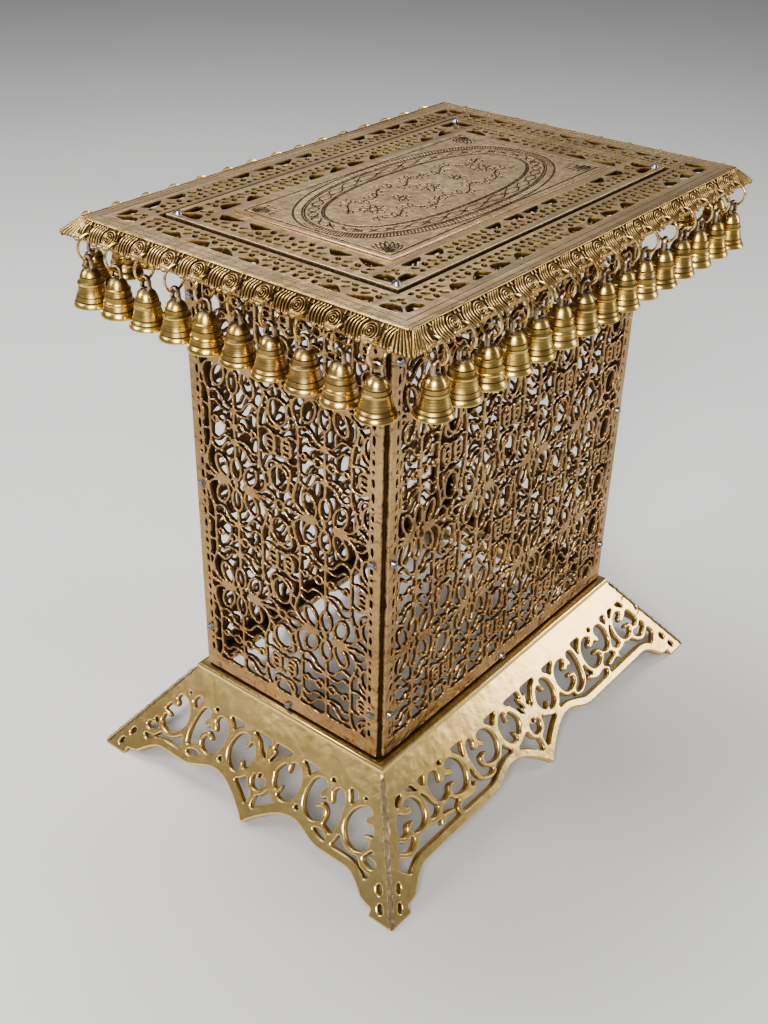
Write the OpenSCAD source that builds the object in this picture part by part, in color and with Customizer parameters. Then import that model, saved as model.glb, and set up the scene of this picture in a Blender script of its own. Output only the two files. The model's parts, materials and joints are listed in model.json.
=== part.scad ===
// Pierced cast-brass box stand: a flared openwork base, a box of four pierced panels on
// an inner frame, and an overhanging pierced top whose cast border carries a row of small
// turned bells. Millimetres, +Z up, origin on the floor below the middle of the box.
// The long front faces -Y and the short left side faces -X.

/* [Top] */
// Width of the flat part of the top, along X
top_w = 400; // [380:2:430]
// Depth of the flat part of the top, along Y
top_d = 274; // [266:2:290]
// Height of the flat top above the floor
top_z = 457; // [430:1:480]
// Thickness of the top plates
plate_t = 3; // [2.5:0.5:3]
// Width of the opening in the rim plate
opening_w = 330; // [326:1:334]
// Depth of the opening in the rim plate
opening_d = 203; // [200:1:206]
// Width of the lift-out cover plate
cover_w = 323; // [320:0.5:323]
// Depth of the lift-out cover plate
cover_d = 197; // [194:0.5:197]
// How far the cover sits off centre towards +X
cover_shift_x = 2.2; // [0:0.1:2.5]
// How far the cover sits off centre towards +Y
cover_shift_y = 1.6; // [0:0.1:2]
// Width of the raised engraved plate
engraved_w = 258; // [240:1:260]
// Depth of the raised engraved plate
engraved_d = 136; // [120:1:138]
// How far the cast border slopes outwards and down
border_run = 11; // [10:0.5:12]

/* [Body] */
// Width of the box body
body_w = 318; // [310:1:322]
// Depth of the box body
body_d = 184; // [178:1:188]
// Thickness of the pierced panels
panel_t = 2.5; // [2:0.25:3]
// Side of the square frame posts
post = 10; // [8:0.5:12]
// Height of the frame rails
rail_h = 6; // [5:0.5:8]

/* [Base] */
// Width of the base over its feet
base_w = 442; // [436:2:448]
// Depth of the base over its feet
base_d = 312; // [306:2:318]
// Height of the base
base_h = 82; // [76:1:86]
// How far each side slopes inwards from foot to shoulder
base_run = 62; // [58:1:64]
// Thickness of the base castings
base_t = 5; // [4:0.5:6]

/* [Bells] */
// Number of bells on each long side
long_bells = 15; // [15]
// Number of bells on each short side
short_bells = 10; // [10]
// Distance between bells on a long side
long_pitch = 26.6; // [26.4:0.1:26.8]
// Distance between bells on a short side
short_pitch = 27.2; // [27:0.1:27.4]
// Radius of a bell's mouth
mouth_r = 12.4; // [11.5:0.1:12.4]
// Height of a bell's body
bell_h = 24.6; // [23:0.2:25]
// Outer radius of a hanging ring
ring_r = 9; // [8.8:0.1:9.2]
// Radius of the wire of a hanging ring
wire_r = 0.7; // [0.6:0.05:0.8]
// Radius of the bar that a ring hangs on
bar_r = 2.2; // [1.8:0.1:2.4]

/* [Hidden] */
$fn = 48;
seam = 0.2;
long_slot_n = long_bells - 1;
short_slot_n = short_bells - 1;
// the bar line lies this far outside the flat top
bar_out = 9;
bar_z = top_z - 9.8;
bar_x = top_w / 2 + bar_out;
bar_y = top_d / 2 + bar_out;
bar_len = 15;
ring_gap = 0.2;
ring_z = bar_z + bar_r + ring_gap - (ring_r - 2 * wire_r);
wire_z = ring_z - ring_r + wire_r;
// the lip of each bell hangs this far under the lower wire of its ring
lip_drop = 31.2;
bell_z = wire_z - lip_drop;
// a ring swings in a slit of this radius and width in the border
slit_r = 11.5;
slit_w = 2.8;
ledge_t = 3;
ledge_z = top_z - plate_t - ledge_t;
panel_z = base_h + 2;
panel_h = ledge_z - panel_z;
corner_gap = 4;
screw_r = 1.5;
screw_hole_r = 1.75;
head_r = 3.2;
head_h = 2;
brass = "#c3a062";
bright_brass = "#d9b658";
pale_brass = "#c9b377";
silver = "#b9bcc0";

function bell_names(side, n) = [for (i = [1 : n]) str("bell_", side, i < 10 ? "_0" : "_", i)];

// ---- outlines as lists of points -------------------------------------------------

// the corners of a rectangle about the origin
function rectangle(w, d) = [[-w / 2, -d / 2], [w / 2, -d / 2], [w / 2, d / 2], [-w / 2, d / 2]];

// an oval hole with n corners at a place, turned by an angle
function oval(place, rx, ry, n = 8, turn = 0) = [
    for (i = [0 : n - 1])
        let (a = 360 * (i + 0.5) / n, x = rx * cos(a), y = ry * sin(a))
        place + [x * cos(turn) - y * sin(turn), x * sin(turn) + y * cos(turn)]];

// a triangle hole with its base on the line y = base and its point towards tip_y
function triangle(x, half, base, tip) = [[x - half, base], [x + half, base], [x, tip]];

// one plate with holes, from an outline and a list of hole outlines
module plate(outline, holes, thickness) {
    linear_extrude(thickness) difference() {
        polygon(outline);
        for (hole = holes) polygon(hole);
    }
}

// a frustum with 45-degree hips, exact on every face
module hipped(w, d, w_low, d_low, h) {
    intersection() {
        translate([0, d_low, 0]) rotate([90, 0, 0]) linear_extrude(2 * d_low)
            polygon([[-w_low / 2, 0], [w_low / 2, 0], [w / 2, h], [-w / 2, h]]);
        translate([-w_low, 0, 0]) rotate([90, 0, 90]) linear_extrude(2 * w_low)
            polygon([[-d_low / 2, 0], [d_low / 2, 0], [d / 2, h], [-d / 2, h]]);
    }
}

// ---- base ------------------------------------------------------------------------

slope = atan2(base_h, base_run);
slant = norm([base_h, base_run]);
// the slanted side's plain shoulder band starts here
band_v = 75;

// height of the scalloped lower edge at a distance u from the middle of a side
function edge_v(u, half) =
    let (peak = 42, dip = 74, arch = half - 58, foot = half - 31)
    u < peak ? 8 + 23 * sin(90 * u / peak)
    : u < dip ? 26.5 + 4.5 * cos(180 * (u - peak) / (dip - peak))
    : u < arch ? 22
    : u < foot ? 6 + 16 * cos(90 * (u - arch) / (foot - arch))
    : 6;

// the outline of one side in its own slanted plane
function side_outline(half) =
    let (foot = half - 31, us = [for (u = [-foot : 4 : foot]) u])
    concat(
        [for (u = us) [u, edge_v(abs(u), half)]],
        [[foot + 0.5, 6], [foot + 8, 6], [foot + 8, -4], [half + 4, -4]],
        [[half + 4, slant - 6], [-half - 4, slant - 6]],
        [[-half - 4, -4], [-foot - 8, -4], [-foot - 8, 6], [-foot - 0.5, 6]]);

// scroll holes of one half of a side: [distance from the middle, height, radius across, radius up]
short_scrolls = [[25, 54, 11.5, 12.5], [57, 54, 10, 12], [79, 56, 5, 9], [101, 52, 11.5, 12.5]];
long_scrolls = [[31, 55, 10, 12], [58, 55, 9.5, 12], [79, 56, 4.5, 10], [101, 53, 11, 12.5],
    [124, 56, 8, 11], [152, 54, 10.5, 12.5]];

function side_holes(half, scrolls) =
    let (last = scrolls[len(scrolls) - 1][0])
    concat(
        [for (s = [-1, 1], c = scrolls) oval([s * c[0], c[1]], c[2], c[3], 14)],
        [for (s = [-1, 1], i = [0 : len(scrolls) - 2])
            let (m = (scrolls[i][0] + scrolls[i + 1][0]) / 2)
            triangle(s * m, 4, 73, 67)],
        [for (s = [-1, 1]) triangle(s * 9, 4.5, 73, 62)],
        [oval([0, 45], 7, 5.5, 10)],
        [for (s = [-1, 1]) oval([s * (last + 19), 30], 2.4, 5, 8, s * 34)],
        [for (s = [-1, 1]) oval([s * (last + 28), 17], 2, 4, 8, s * 34)],
        [for (s = [-1, 1]) triangle(s * (last + 2), 6, 29, 35)]);

module base_side(length, depth, scrolls) {
    half = length / 2;
    color(pale_brass)
    intersection() {
        union() {
            translate([0, -depth / 2, 0]) rotate([slope, 0, 0]) translate([0, 0, -base_t])
                plate(side_outline(half), side_holes(half, scrolls), base_t);
            // rolled shoulder and the ledge that carries the body
            translate([-half, -depth / 2 + base_run + 1.5, base_h - 5.5])
                rotate([0, 90, 0]) cylinder(r = 5.5, h = length);
            translate([-half, -depth / 2 + base_run + 1.5, base_h - 3]) cube([length, 12, 3]);
        }
        // mitred ends, with a soldered seam between neighbours
        translate([0, -depth / 2, 0]) linear_extrude(base_h) polygon([
            [-half + seam, 0], [half - seam, 0],
            [half - base_run - 20 - seam, base_run + 20], [-half + base_run + 20 + seam, base_run + 20]]);
    }
}

module base_skirt() {
    for (turn = [0, 180]) rotate(turn) base_side(base_w, base_d, long_scrolls);
    for (turn = [90, 270]) rotate(turn) base_side(base_d, base_w, short_scrolls);
}

// ---- body ------------------------------------------------------------------------

post_x = body_w / 2 - panel_t - seam;
post_y = body_d / 2 - panel_t - seam;
// screws along a panel's upright edges, and the height of the one at its foot
screw_zs = [122, 255, 405];
foot_screw_z = base_h + 3.2;

// screw places on a panel: [distance along the panel, height]
function panel_screws(w) = concat(
    [for (s = [-1, 1], z = screw_zs) [s * (w / 2 - 6), z]], [[0, foot_screw_z + 1.6]]);

// the shanks of one panel's screws, for drilling and for the screws themselves
module panel_shanks(w, out, r) {
    for (p = panel_screws(w)) translate([p[0], -out - 0.1, p[1]]) rotate([-90, 0, 0]) cylinder(r = r, h = 8);
}

module inner_frame() {
    color(brass)
    difference() {
        union() {
            for (sx = [-1, 1], sy = [-1, 1])
                translate([sx * (post_x - post / 2), sy * (post_y - post / 2), (base_h + seam + ledge_z - seam) / 2])
                    cube([post, post, ledge_z - base_h - 2 * seam], center = true);
            for (s = [-1, 1], z = [base_h + seam, ledge_z - rail_h - seam]) {
                rail_x = 2 * (post_x - post - seam);
                rail_y = 2 * (post_y - post - seam);
                translate([-rail_x / 2, s * (post_y - rail_h / 2) - rail_h / 2, z]) cube([rail_x, rail_h, rail_h]);
                translate([s * (post_x - rail_h / 2) - rail_h / 2, -rail_y / 2, z]) cube([rail_h, rail_y, rail_h]);
            }
            ledges();
        }
        all_shanks(screw_r);
    }
}

// four flat bars under the joint between rim and cover
module ledges() {
    ledge_in_x = body_w / 2 - 13;
    ledge_in_y = body_d / 2 - 13;
    ledge_out_x = opening_w / 2 + 8;
    ledge_out_y = opening_d / 2 + 8;
    for (s = [-1, 1]) {
        translate([-ledge_out_x, s > 0 ? ledge_in_y : -ledge_out_y, ledge_z])
            cube([2 * ledge_out_x, ledge_out_y - ledge_in_y, ledge_t - seam / 2]);
        translate([s > 0 ? ledge_in_x : -ledge_out_x, -ledge_in_y + seam, ledge_z])
            cube([ledge_out_x - ledge_in_x, 2 * ledge_in_y - 2 * seam, ledge_t - seam / 2]);
    }
}

// the holes of one panel, in cells with a flower in the middle of each
function panel_holes(w, h, nx, nz) =
    let (edge = 11, foot = 15, cw = (w - 2 * edge) / nx, ch = (h - foot - 12) / nz)
    concat(
        [for (i = [0 : nx - 1], k = [0 : nz - 1])
            let (c = [-w / 2 + edge + (i + 0.5) * cw, foot + (k + 0.5) * ch])
            each concat(
                [for (s = [-1, 1]) oval(c + [0, s * 0.13 * ch], 0.055 * cw, 0.085 * ch)],
                [for (s = [-1, 1], t = [-1, 1])
                    oval(c + [s * 0.165 * cw, t * 0.115 * ch], 0.075 * cw, 0.085 * ch, 8, -s * t * 20)],
                [for (s = [-1, 1], t = [-1, 1]) oval(c + [s * 0.13 * cw, t * 0.34 * ch], 0.09 * cw, 0.08 * ch, 6)],
                [for (s = [-1, 1], t = [-1, 1]) oval(c + [s * 0.33 * cw, t * 0.33 * ch], 0.055 * cw, 0.1 * ch, 6)])],
        [for (i = [1 : nx - 1], k = [0 : nz - 1], t = [-1, 1])
            let (c = [-w / 2 + edge + i * cw, foot + (k + 0.5) * ch])
            oval(c + [0, t * 0.13 * ch], 0.09 * cw, 0.085 * ch, 6)],
        [for (i = [1 : nx - 1], k = [0 : nz - 1], t = [-1, 1])
            let (c = [-w / 2 + edge + i * cw, foot + (k + 0.5) * ch])
            oval(c + [0, t * 0.37 * ch], 0.055 * cw, 0.07 * ch, 6)]);

// clearance holes for a panel's screws
function screw_holes(w) = [for (p = panel_screws(w)) oval(p - [0, panel_z], screw_hole_r, screw_hole_r, 12)];

module pierced_panel(w, out, nx) {
    color(brass)
    translate([0, -out + panel_t, panel_z]) rotate([90, 0, 0])
        plate([for (p = rectangle(w, panel_h)) p + [0, panel_h / 2]],
            concat(panel_holes(w, panel_h, nx, 4), screw_holes(w)), panel_t);
}

front_w = body_w - 2 * corner_gap;
side_w = body_d - 2 * corner_gap;
module front_panel() pierced_panel(front_w, body_d / 2, 4);
module back_panel() rotate(180) pierced_panel(front_w, body_d / 2, 4);
module left_panel() rotate(-90) pierced_panel(side_w, body_w / 2, 2);
module right_panel() rotate(90) pierced_panel(side_w, body_w / 2, 2);

// ---- top -------------------------------------------------------------------------

motif = 35;
// a row of pierced leaves along X, between y = low (wide triangles) and y = high
function leaf_row(length, low, high) =
    let (n = round(length / motif), p = length / n, d = high - low)
    [for (i = [0 : n - 1])
        let (x = -length / 2 + (i + 0.5) * p)
        each [
            triangle(x - p * 0.24, p * 0.2, low, low + d * 0.42),
            triangle(x + p * 0.24, p * 0.2, low, low + d * 0.42),
            oval([x, low + d * 0.28], p * 0.07, abs(d) * 0.12, 6),
            oval([x - p * 0.4, low + d * 0.72], p * 0.08, abs(d) * 0.13, 6, 25),
            oval([x - p * 0.18, low + d * 0.72], p * 0.07, abs(d) * 0.17, 6, -25),
            oval([x, low + d * 0.82], p * 0.09, abs(d) * 0.12, 6),
            oval([x + p * 0.18, low + d * 0.72], p * 0.07, abs(d) * 0.17, 6, 25),
            oval([x + p * 0.4, low + d * 0.72], p * 0.08, abs(d) * 0.13, 6, -25)]];

// turns a list of outlines by 90 degrees
function turned(loops) = [for (loop = loops) [for (p = loop) [-p[1], p[0]]]];
function mirrored_y(loops) = [for (loop = loops) [for (p = loop) [p[0], -p[1]]]];

// bands of leaves on all four sides of a frame between two rectangles
function leaf_frame(w, d, w_in, d_in, flip) =
    let (long = leaf_row(w_in, flip ? -d_in / 2 : -d / 2, flip ? -d / 2 : -d_in / 2),
        short = leaf_row(d_in, flip ? -w_in / 2 : -w / 2, flip ? -w / 2 : -w_in / 2))
    concat(long, mirrored_y(long), turned(short), turned(mirrored_y(short)));

// where the bells hang along a side, nudged a little by hand
long_nudge = [0, 0.3, -0.4, 0.5, 0.1, -0.3, 0.4, -0.2, 0.3, -0.5, 0.2, 0.4, -0.3, 0.2, 0];
short_nudge = [0, -0.4, 0.3, 0.5, -0.2, 0.4, -0.3, 0.2, 0.4, 0];
function long_place(i) = (i - long_slot_n / 2) * long_pitch + long_nudge[i];
function short_place(i) = (i - short_slot_n / 2) * short_pitch + short_nudge[i];

// the slits, bars and rosettes along a side of the border that faces -Y
module slits(places, out) {
    for (x = places) translate([x - slit_w / 2, -out, bar_z]) rotate([0, 90, 0]) cylinder(r = slit_r, h = slit_w);
}

module bars(places, out) {
    for (x = places) translate([x - bar_len / 2, -out, bar_z]) rotate([0, 90, 0]) cylinder(r = bar_r, h = bar_len);
}

module rosettes(places, edge) {
    pitch = places[1] - places[0];
    for (i = [0 : len(places) - 2])
        translate([(places[i] + places[i + 1]) / 2, -edge - border_run / 2, top_z - border_run / 2])
            rotate([45, 0, 0]) cylinder(r = 4.4, h = 1.2);
}

long_places = [for (i = [0 : long_slot_n]) long_place(i)];
short_places = [for (i = [0 : short_slot_n]) short_place(i)];

// the cast border, soldered on around the plate
module border() {
    outer_w = top_w + 2 * border_run;
    outer_d = top_d + 2 * border_run;
    shell = 3.2;
    difference() {
        translate([0, 0, top_z - border_run]) hipped(top_w, top_d, outer_w, outer_d, border_run);
        translate([0, 0, top_z - border_run - shell])
            hipped(top_w, top_d, outer_w, outer_d, border_run);
        cube([top_w - 2, top_d - 2, 3 * top_z], center = true);
        for (turn = [0, 180]) rotate(turn) slits(long_places, bar_y);
        for (turn = [90, 270]) rotate(turn) slits(short_places, bar_x);
    }
    for (turn = [0, 180]) rotate(turn) bars(long_places, bar_y);
    for (turn = [90, 270]) rotate(turn) bars(short_places, bar_x);
    for (turn = [0, 180]) rotate(turn) rosettes(long_places, top_d / 2);
    for (turn = [90, 270]) rotate(turn) rosettes(short_places, top_w / 2);
}

module top_rim() {
    color(brass) {
        translate([0, 0, top_z - plate_t])
            plate(rectangle(top_w - 2 - seam, top_d - 2 - seam), rim_holes(), plate_t);
        border();
    }
}

function rim_holes() =
    concat([rectangle(opening_w, opening_d)],
        leaf_frame(top_w - 28, top_d - 28, opening_w + 6, opening_d + 6, false));

module top_cover() {
    corners = rectangle(2 * cover_screw_x, 2 * cover_screw_y);
    color(brass)
    translate([cover_shift_x, cover_shift_y, top_z - plate_t])
        plate(rectangle(cover_w, cover_d),
            concat(
                leaf_frame(cover_w - 6, cover_d - 6, engraved_w + 20, engraved_d + 20, true),
                [for (c = corners) oval(c, screw_hole_r, screw_hole_r, 12)]),
            plate_t - seam);
}

module engraved_plate() {
    color(brass)
    translate([cover_shift_x, cover_shift_y, top_z])
        hipped(engraved_w - 6, engraved_d - 6, engraved_w, engraved_d, 3);
}

// ---- screws ----------------------------------------------------------------------

cover_screw_x = cover_w / 2 - 5.5;
cover_screw_y = cover_d / 2 - 5.5;

module cover_shanks(r) {
    for (sx = [-1, 1], sy = [-1, 1])
        translate([cover_shift_x + sx * cover_screw_x, cover_shift_y + sy * cover_screw_y, top_z - 5.8])
            cylinder(r = r, h = 6);
}

module all_shanks(r) {
    for (turn = [0, 180]) rotate(turn) panel_shanks(front_w, body_d / 2, r);
    for (turn = [90, 270]) rotate(turn) panel_shanks(side_w, body_w / 2, r);
    cover_shanks(r);
}

module screw(shank) {
    color(silver) {
        difference() {
            cylinder(r1 = head_r, r2 = head_r - 0.9, h = head_h);
            translate([-head_r, -0.4, head_h - 0.8]) cube([2 * head_r, 0.8, 1]);
        }
        translate([0, 0, -shank]) cylinder(r = screw_r - 0.05, h = shank + 0.2);
    }
}

module screws() {
    for (side = [[0, front_w, body_d / 2], [180, front_w, body_d / 2],
            [90, side_w, body_w / 2], [270, side_w, body_w / 2]])
        rotate(side[0]) for (p = panel_screws(side[1]))
            translate([p[0], -side[2] - 0.05, p[1]]) rotate([90, 0, 0]) screw(7.5);
    for (sx = [-1, 1], sy = [-1, 1])
        translate([cover_shift_x + sx * cover_screw_x, cover_shift_y + sy * cover_screw_y, top_z])
            screw(5.5);
}

// ---- bells -----------------------------------------------------------------------

// outer profiles of the three bell patterns, as [radius, height] up from the lip,
// in shares of the mouth radius and the body height
plain_bell = [[1, 0], [1, 0.035], [0.93, 0.12], [0.9, 0.155], [0.88, 0.16], [0.88, 0.175], [0.9, 0.18],
    [0.84, 0.27], [0.82, 0.28], [0.82, 0.295], [0.83, 0.3], [0.76, 0.5], [0.73, 0.62], [0.77, 0.64],
    [0.77, 0.7], [0.7, 0.72], [0.67, 0.82], [0.65, 0.825], [0.65, 0.84], [0.66, 0.845], [0.56, 0.96],
    [0.42, 1]];
waisted_bell = [[1, 0], [1, 0.04], [0.95, 0.1], [0.88, 0.2], [0.86, 0.205], [0.86, 0.225], [0.88, 0.23],
    [0.82, 0.34], [0.87, 0.36], [0.87, 0.42], [0.8, 0.44], [0.79, 0.56], [0.76, 0.565], [0.76, 0.58],
    [0.78, 0.585], [0.74, 0.7], [0.77, 0.72], [0.77, 0.77], [0.69, 0.79], [0.62, 0.93], [0.46, 1]];
domed_bell = [[1, 0], [1, 0.03], [0.94, 0.08], [0.9, 0.13], [0.88, 0.135], [0.88, 0.15], [0.9, 0.155],
    [0.85, 0.23], [0.83, 0.235], [0.83, 0.25], [0.85, 0.255], [0.76, 0.42], [0.72, 0.55], [0.75, 0.57],
    [0.75, 0.62], [0.71, 0.64], [0.7, 0.74], [0.68, 0.745], [0.68, 0.76], [0.69, 0.765], [0.66, 0.86],
    [0.56, 0.95], [0.4, 1]];
inner_profile = [[0, 0.86], [0.3, 0.86], [0.52, 0.72], [0.6, 0.5], [0.7, 0.28], [0.78, 0.12], [0.88, 0]];
patterns = [plain_bell, domed_bell, plain_bell, waisted_bell, domed_bell, plain_bell, waisted_bell];

module bell_body(pattern) {
    rotate_extrude()
        polygon([for (p = concat(pattern, [[0, 1]], inner_profile)) [p[0] * mouth_r, p[1] * bell_h]]);
}

eye_t = 3.4;
eye_top = lip_drop + wire_r + 0.4;
module eye() {
    hole_r = 2.3;
    translate([0, eye_t / 2, 0]) rotate([90, 0, 0]) linear_extrude(eye_t) difference() {
        union() {
            translate([0, eye_top - hole_r]) circle(r = hole_r + 2.3);
            polygon([[-5.2, bell_h - 0.6], [5.2, bell_h - 0.6], [4.6, eye_top - hole_r], [-4.6, eye_top - hole_r]]);
        }
        translate([0, eye_top - hole_r]) circle(r = hole_r);
        translate([-hole_r, bell_h + 2.2]) square([2 * hole_r, eye_top - hole_r - bell_h - 2.2]);
    }
}

module clapper() {
    roof = 0.86 * bell_h - 0.1;
    translate([0, 0, 3]) cylinder(r = 0.8, h = roof - 3);
    translate([0, 0, 3.2]) sphere(r = 2.6);
}

// one bell on its ring, hung on the bar at x on a side that faces -Y
module hung_bell(x, out, i) {
    translate([x, -out, bell_z]) {
        color(bright_brass) rotate(14 * sin(137 * i)) {
            bell_body(patterns[i % len(patterns)]);
            eye();
        }
        color(brass) clapper();
        color(bright_brass) translate([0, 0, ring_z - bell_z]) rotate([0, 90, 0])
            rotate_extrude() translate([ring_r - wire_r, 0]) circle(r = wire_r);
    }
}

module front_bell(n) hung_bell(long_places[n - 1], bar_y, n);
module back_bell(n) rotate(180) hung_bell(long_places[n - 1], bar_y, n + 3);
module left_bell(n) rotate(270) hung_bell(short_places[n - 1], bar_x, n + 1);
module right_bell(n) rotate(90) hung_bell(short_places[n - 1], bar_x, n + 5);

base_skirt();
inner_frame();
front_panel();
back_panel();
left_panel();
right_panel();
top_rim();
top_cover();
engraved_plate();
screws();
front_bell(1);  // bell_front_01
front_bell(2);  // bell_front_02
front_bell(3);  // bell_front_03
front_bell(4);  // bell_front_04
front_bell(5);  // bell_front_05
front_bell(6);  // bell_front_06
front_bell(7);  // bell_front_07
front_bell(8);  // bell_front_08
front_bell(9);  // bell_front_09
front_bell(10);  // bell_front_10
front_bell(11);  // bell_front_11
front_bell(12);  // bell_front_12
front_bell(13);  // bell_front_13
front_bell(14);  // bell_front_14
front_bell(15);  // bell_front_15
back_bell(1);  // bell_back_01
back_bell(2);  // bell_back_02
back_bell(3);  // bell_back_03
back_bell(4);  // bell_back_04
back_bell(5);  // bell_back_05
back_bell(6);  // bell_back_06
back_bell(7);  // bell_back_07
back_bell(8);  // bell_back_08
back_bell(9);  // bell_back_09
back_bell(10);  // bell_back_10
back_bell(11);  // bell_back_11
back_bell(12);  // bell_back_12
back_bell(13);  // bell_back_13
back_bell(14);  // bell_back_14
back_bell(15);  // bell_back_15
left_bell(1);  // bell_left_01
left_bell(2);  // bell_left_02
left_bell(3);  // bell_left_03
left_bell(4);  // bell_left_04
left_bell(5);  // bell_left_05
left_bell(6);  // bell_left_06
left_bell(7);  // bell_left_07
left_bell(8);  // bell_left_08
left_bell(9);  // bell_left_09
left_bell(10);  // bell_left_10
right_bell(1);  // bell_right_01
right_bell(2);  // bell_right_02
right_bell(3);  // bell_right_03
right_bell(4);  // bell_right_04
right_bell(5);  // bell_right_05
right_bell(6);  // bell_right_06
right_bell(7);  // bell_right_07
right_bell(8);  // bell_right_08
right_bell(9);  // bell_right_09
right_bell(10);  // bell_right_10
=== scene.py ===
"""Looks for the pierced brass box stand: filigree panels, cast base, pierced and engraved top, bells."""
import json
import math

import bpy
import numpy as np
from mathutils import Matrix, Vector
from mathutils.geometry import delaunay_2d_cdt


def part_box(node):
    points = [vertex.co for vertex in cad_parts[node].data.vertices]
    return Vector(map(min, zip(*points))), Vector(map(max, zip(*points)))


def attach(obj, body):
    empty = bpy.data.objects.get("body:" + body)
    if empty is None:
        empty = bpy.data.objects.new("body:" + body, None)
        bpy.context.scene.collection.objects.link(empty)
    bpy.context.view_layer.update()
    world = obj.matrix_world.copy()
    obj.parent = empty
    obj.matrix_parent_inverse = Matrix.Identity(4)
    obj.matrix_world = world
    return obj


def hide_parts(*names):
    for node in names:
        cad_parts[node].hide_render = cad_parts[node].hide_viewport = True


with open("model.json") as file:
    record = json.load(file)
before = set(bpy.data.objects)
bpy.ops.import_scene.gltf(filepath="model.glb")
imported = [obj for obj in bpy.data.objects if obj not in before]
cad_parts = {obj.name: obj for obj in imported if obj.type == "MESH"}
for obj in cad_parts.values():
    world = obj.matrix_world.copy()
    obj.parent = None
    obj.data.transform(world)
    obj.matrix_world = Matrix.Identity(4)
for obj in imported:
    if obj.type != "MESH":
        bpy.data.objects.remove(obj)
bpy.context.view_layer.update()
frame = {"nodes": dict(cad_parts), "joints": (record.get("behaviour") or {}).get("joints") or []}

MM = 0.001
STAND = "stand"


# ---- the frame, in millimetres -----------------------------------------------------------------

def box_mm(node):
    """Lowest and highest corner of a CAD node, in millimetres."""
    low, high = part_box(node)
    return np.array(low) / MM, np.array(high) / MM


RIM_LOW, RIM_HIGH = box_mm("top_rim")
COVER_LOW, COVER_HIGH = box_mm("top_cover")
RAISED_LOW, RAISED_HIGH = box_mm("engraved_plate")
SKIRT_LOW, SKIRT_HIGH = box_mm("base_skirt")
TOP_Z = RIM_HIGH[2]
BASE_H = SKIRT_HIGH[2]
HINGES = {j["child"]: np.array(j["pos_m"]) / MM for j in frame["joints"]}
BAR_Z = HINGES["bell_front_01"][2]
BAR_X = abs(HINGES["bell_left_01"][0])
BAR_Y = abs(HINGES["bell_front_01"][1])
BAR_OUT = 9.0
TOP_W = 2 * (BAR_X - BAR_OUT)
TOP_D = 2 * (BAR_Y - BAR_OUT)
OPENING_W, OPENING_D = 330.0, 203.0
SIDES = {
    # name, which is also its bells' prefix: turn about Z in degrees
    "front": 0,
    "right": 90,
    "back": 180,
    "left": 270,
}


def spin(points, degrees):
    """Points turned about the vertical axis."""
    a = math.radians(degrees)
    c, s = math.cos(a), math.sin(a)
    p = np.asarray(points, float)
    out = p.copy()
    out[..., 0] = c * p[..., 0] - s * p[..., 1]
    out[..., 1] = s * p[..., 0] + c * p[..., 1]
    return out


class Place:
    """A plane that shapes are drawn in: u along it, v across it, n out of it."""

    def __init__(self, origin, u, v, turn=0):
        u, v = np.array(u, float), np.array(v, float)
        n = np.cross(u, v)
        self.axes = spin(np.array([u, v, n / np.linalg.norm(n)]), turn)
        self.origin = spin(np.array(origin, float), turn)

    def __call__(self, uvn):
        return self.origin + np.asarray(uvn, float) @ self.axes


# ---- curves --------------------------------------------------------------------------------------

def arc(centre, radius, start, end, steps=16):
    """Points on an arc, from start to end in degrees."""
    a = np.radians(np.linspace(start, end, steps))
    return np.column_stack([centre[0] + radius * np.cos(a), centre[1] + radius * np.sin(a)])


def oval(centre, rx, ry, turn=0.0, steps=20):
    """A closed oval."""
    a = np.linspace(0, 2 * math.pi, steps, endpoint=False)
    x, y = rx * np.cos(a), ry * np.sin(a)
    c, s = math.cos(math.radians(turn)), math.sin(math.radians(turn))
    return np.column_stack([centre[0] + x * c - y * s, centre[1] + x * s + y * c])


def smooth(points, per=6, closed=False):
    """A Catmull-Rom curve through points."""
    p = np.asarray(points, float)
    if closed:
        p = np.vstack([p[-1], p, p[0], p[1]])
    else:
        p = np.vstack([2 * p[0] - p[1], p, 2 * p[-1] - p[-2]])
    out = []
    for i in range(1, len(p) - 2):
        for t in np.linspace(0, 1, per, endpoint=False):
            a, b, c, d = p[i - 1], p[i], p[i + 1], p[i + 2]
            out.append(0.5 * (2 * b + (c - a) * t + (2 * a - 5 * b + 4 * c - d) * t * t
                              + (3 * b - a - 3 * c + d) * t ** 3))
    if not closed:
        out.append(p[-2])
    return np.array(out)


def spiral(centre, radius, start, turns, tail=0.25, steps=26):
    """A scroll that winds in from radius to a share of it."""
    t = np.linspace(0, 1, steps)
    a = np.radians(start) + t * turns * 2 * math.pi
    r = radius * (1 - (1 - tail) * t ** 1.3)
    return np.column_stack([centre[0] + r * np.cos(a), centre[1] + r * np.sin(a)])


def mirror(path, about=0.0):
    """The path mirrored left to right."""
    return np.column_stack([2 * about - path[:, 0], path[:, 1]])


# ---- meshes ----------------------------------------------------------------------------------------

ROUND = [(-1, 0), (-0.95, 0.45), (-0.68, 0.84), (0, 1), (0.68, 0.84), (0.95, 0.45), (1, 0)]
BROAD = [(-1, 0), (-1, 0.5), (-0.86, 0.8), (-0.45, 1), (0, 1.04), (0.45, 1), (0.86, 0.8), (1, 0.5), (1, 0)]


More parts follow.
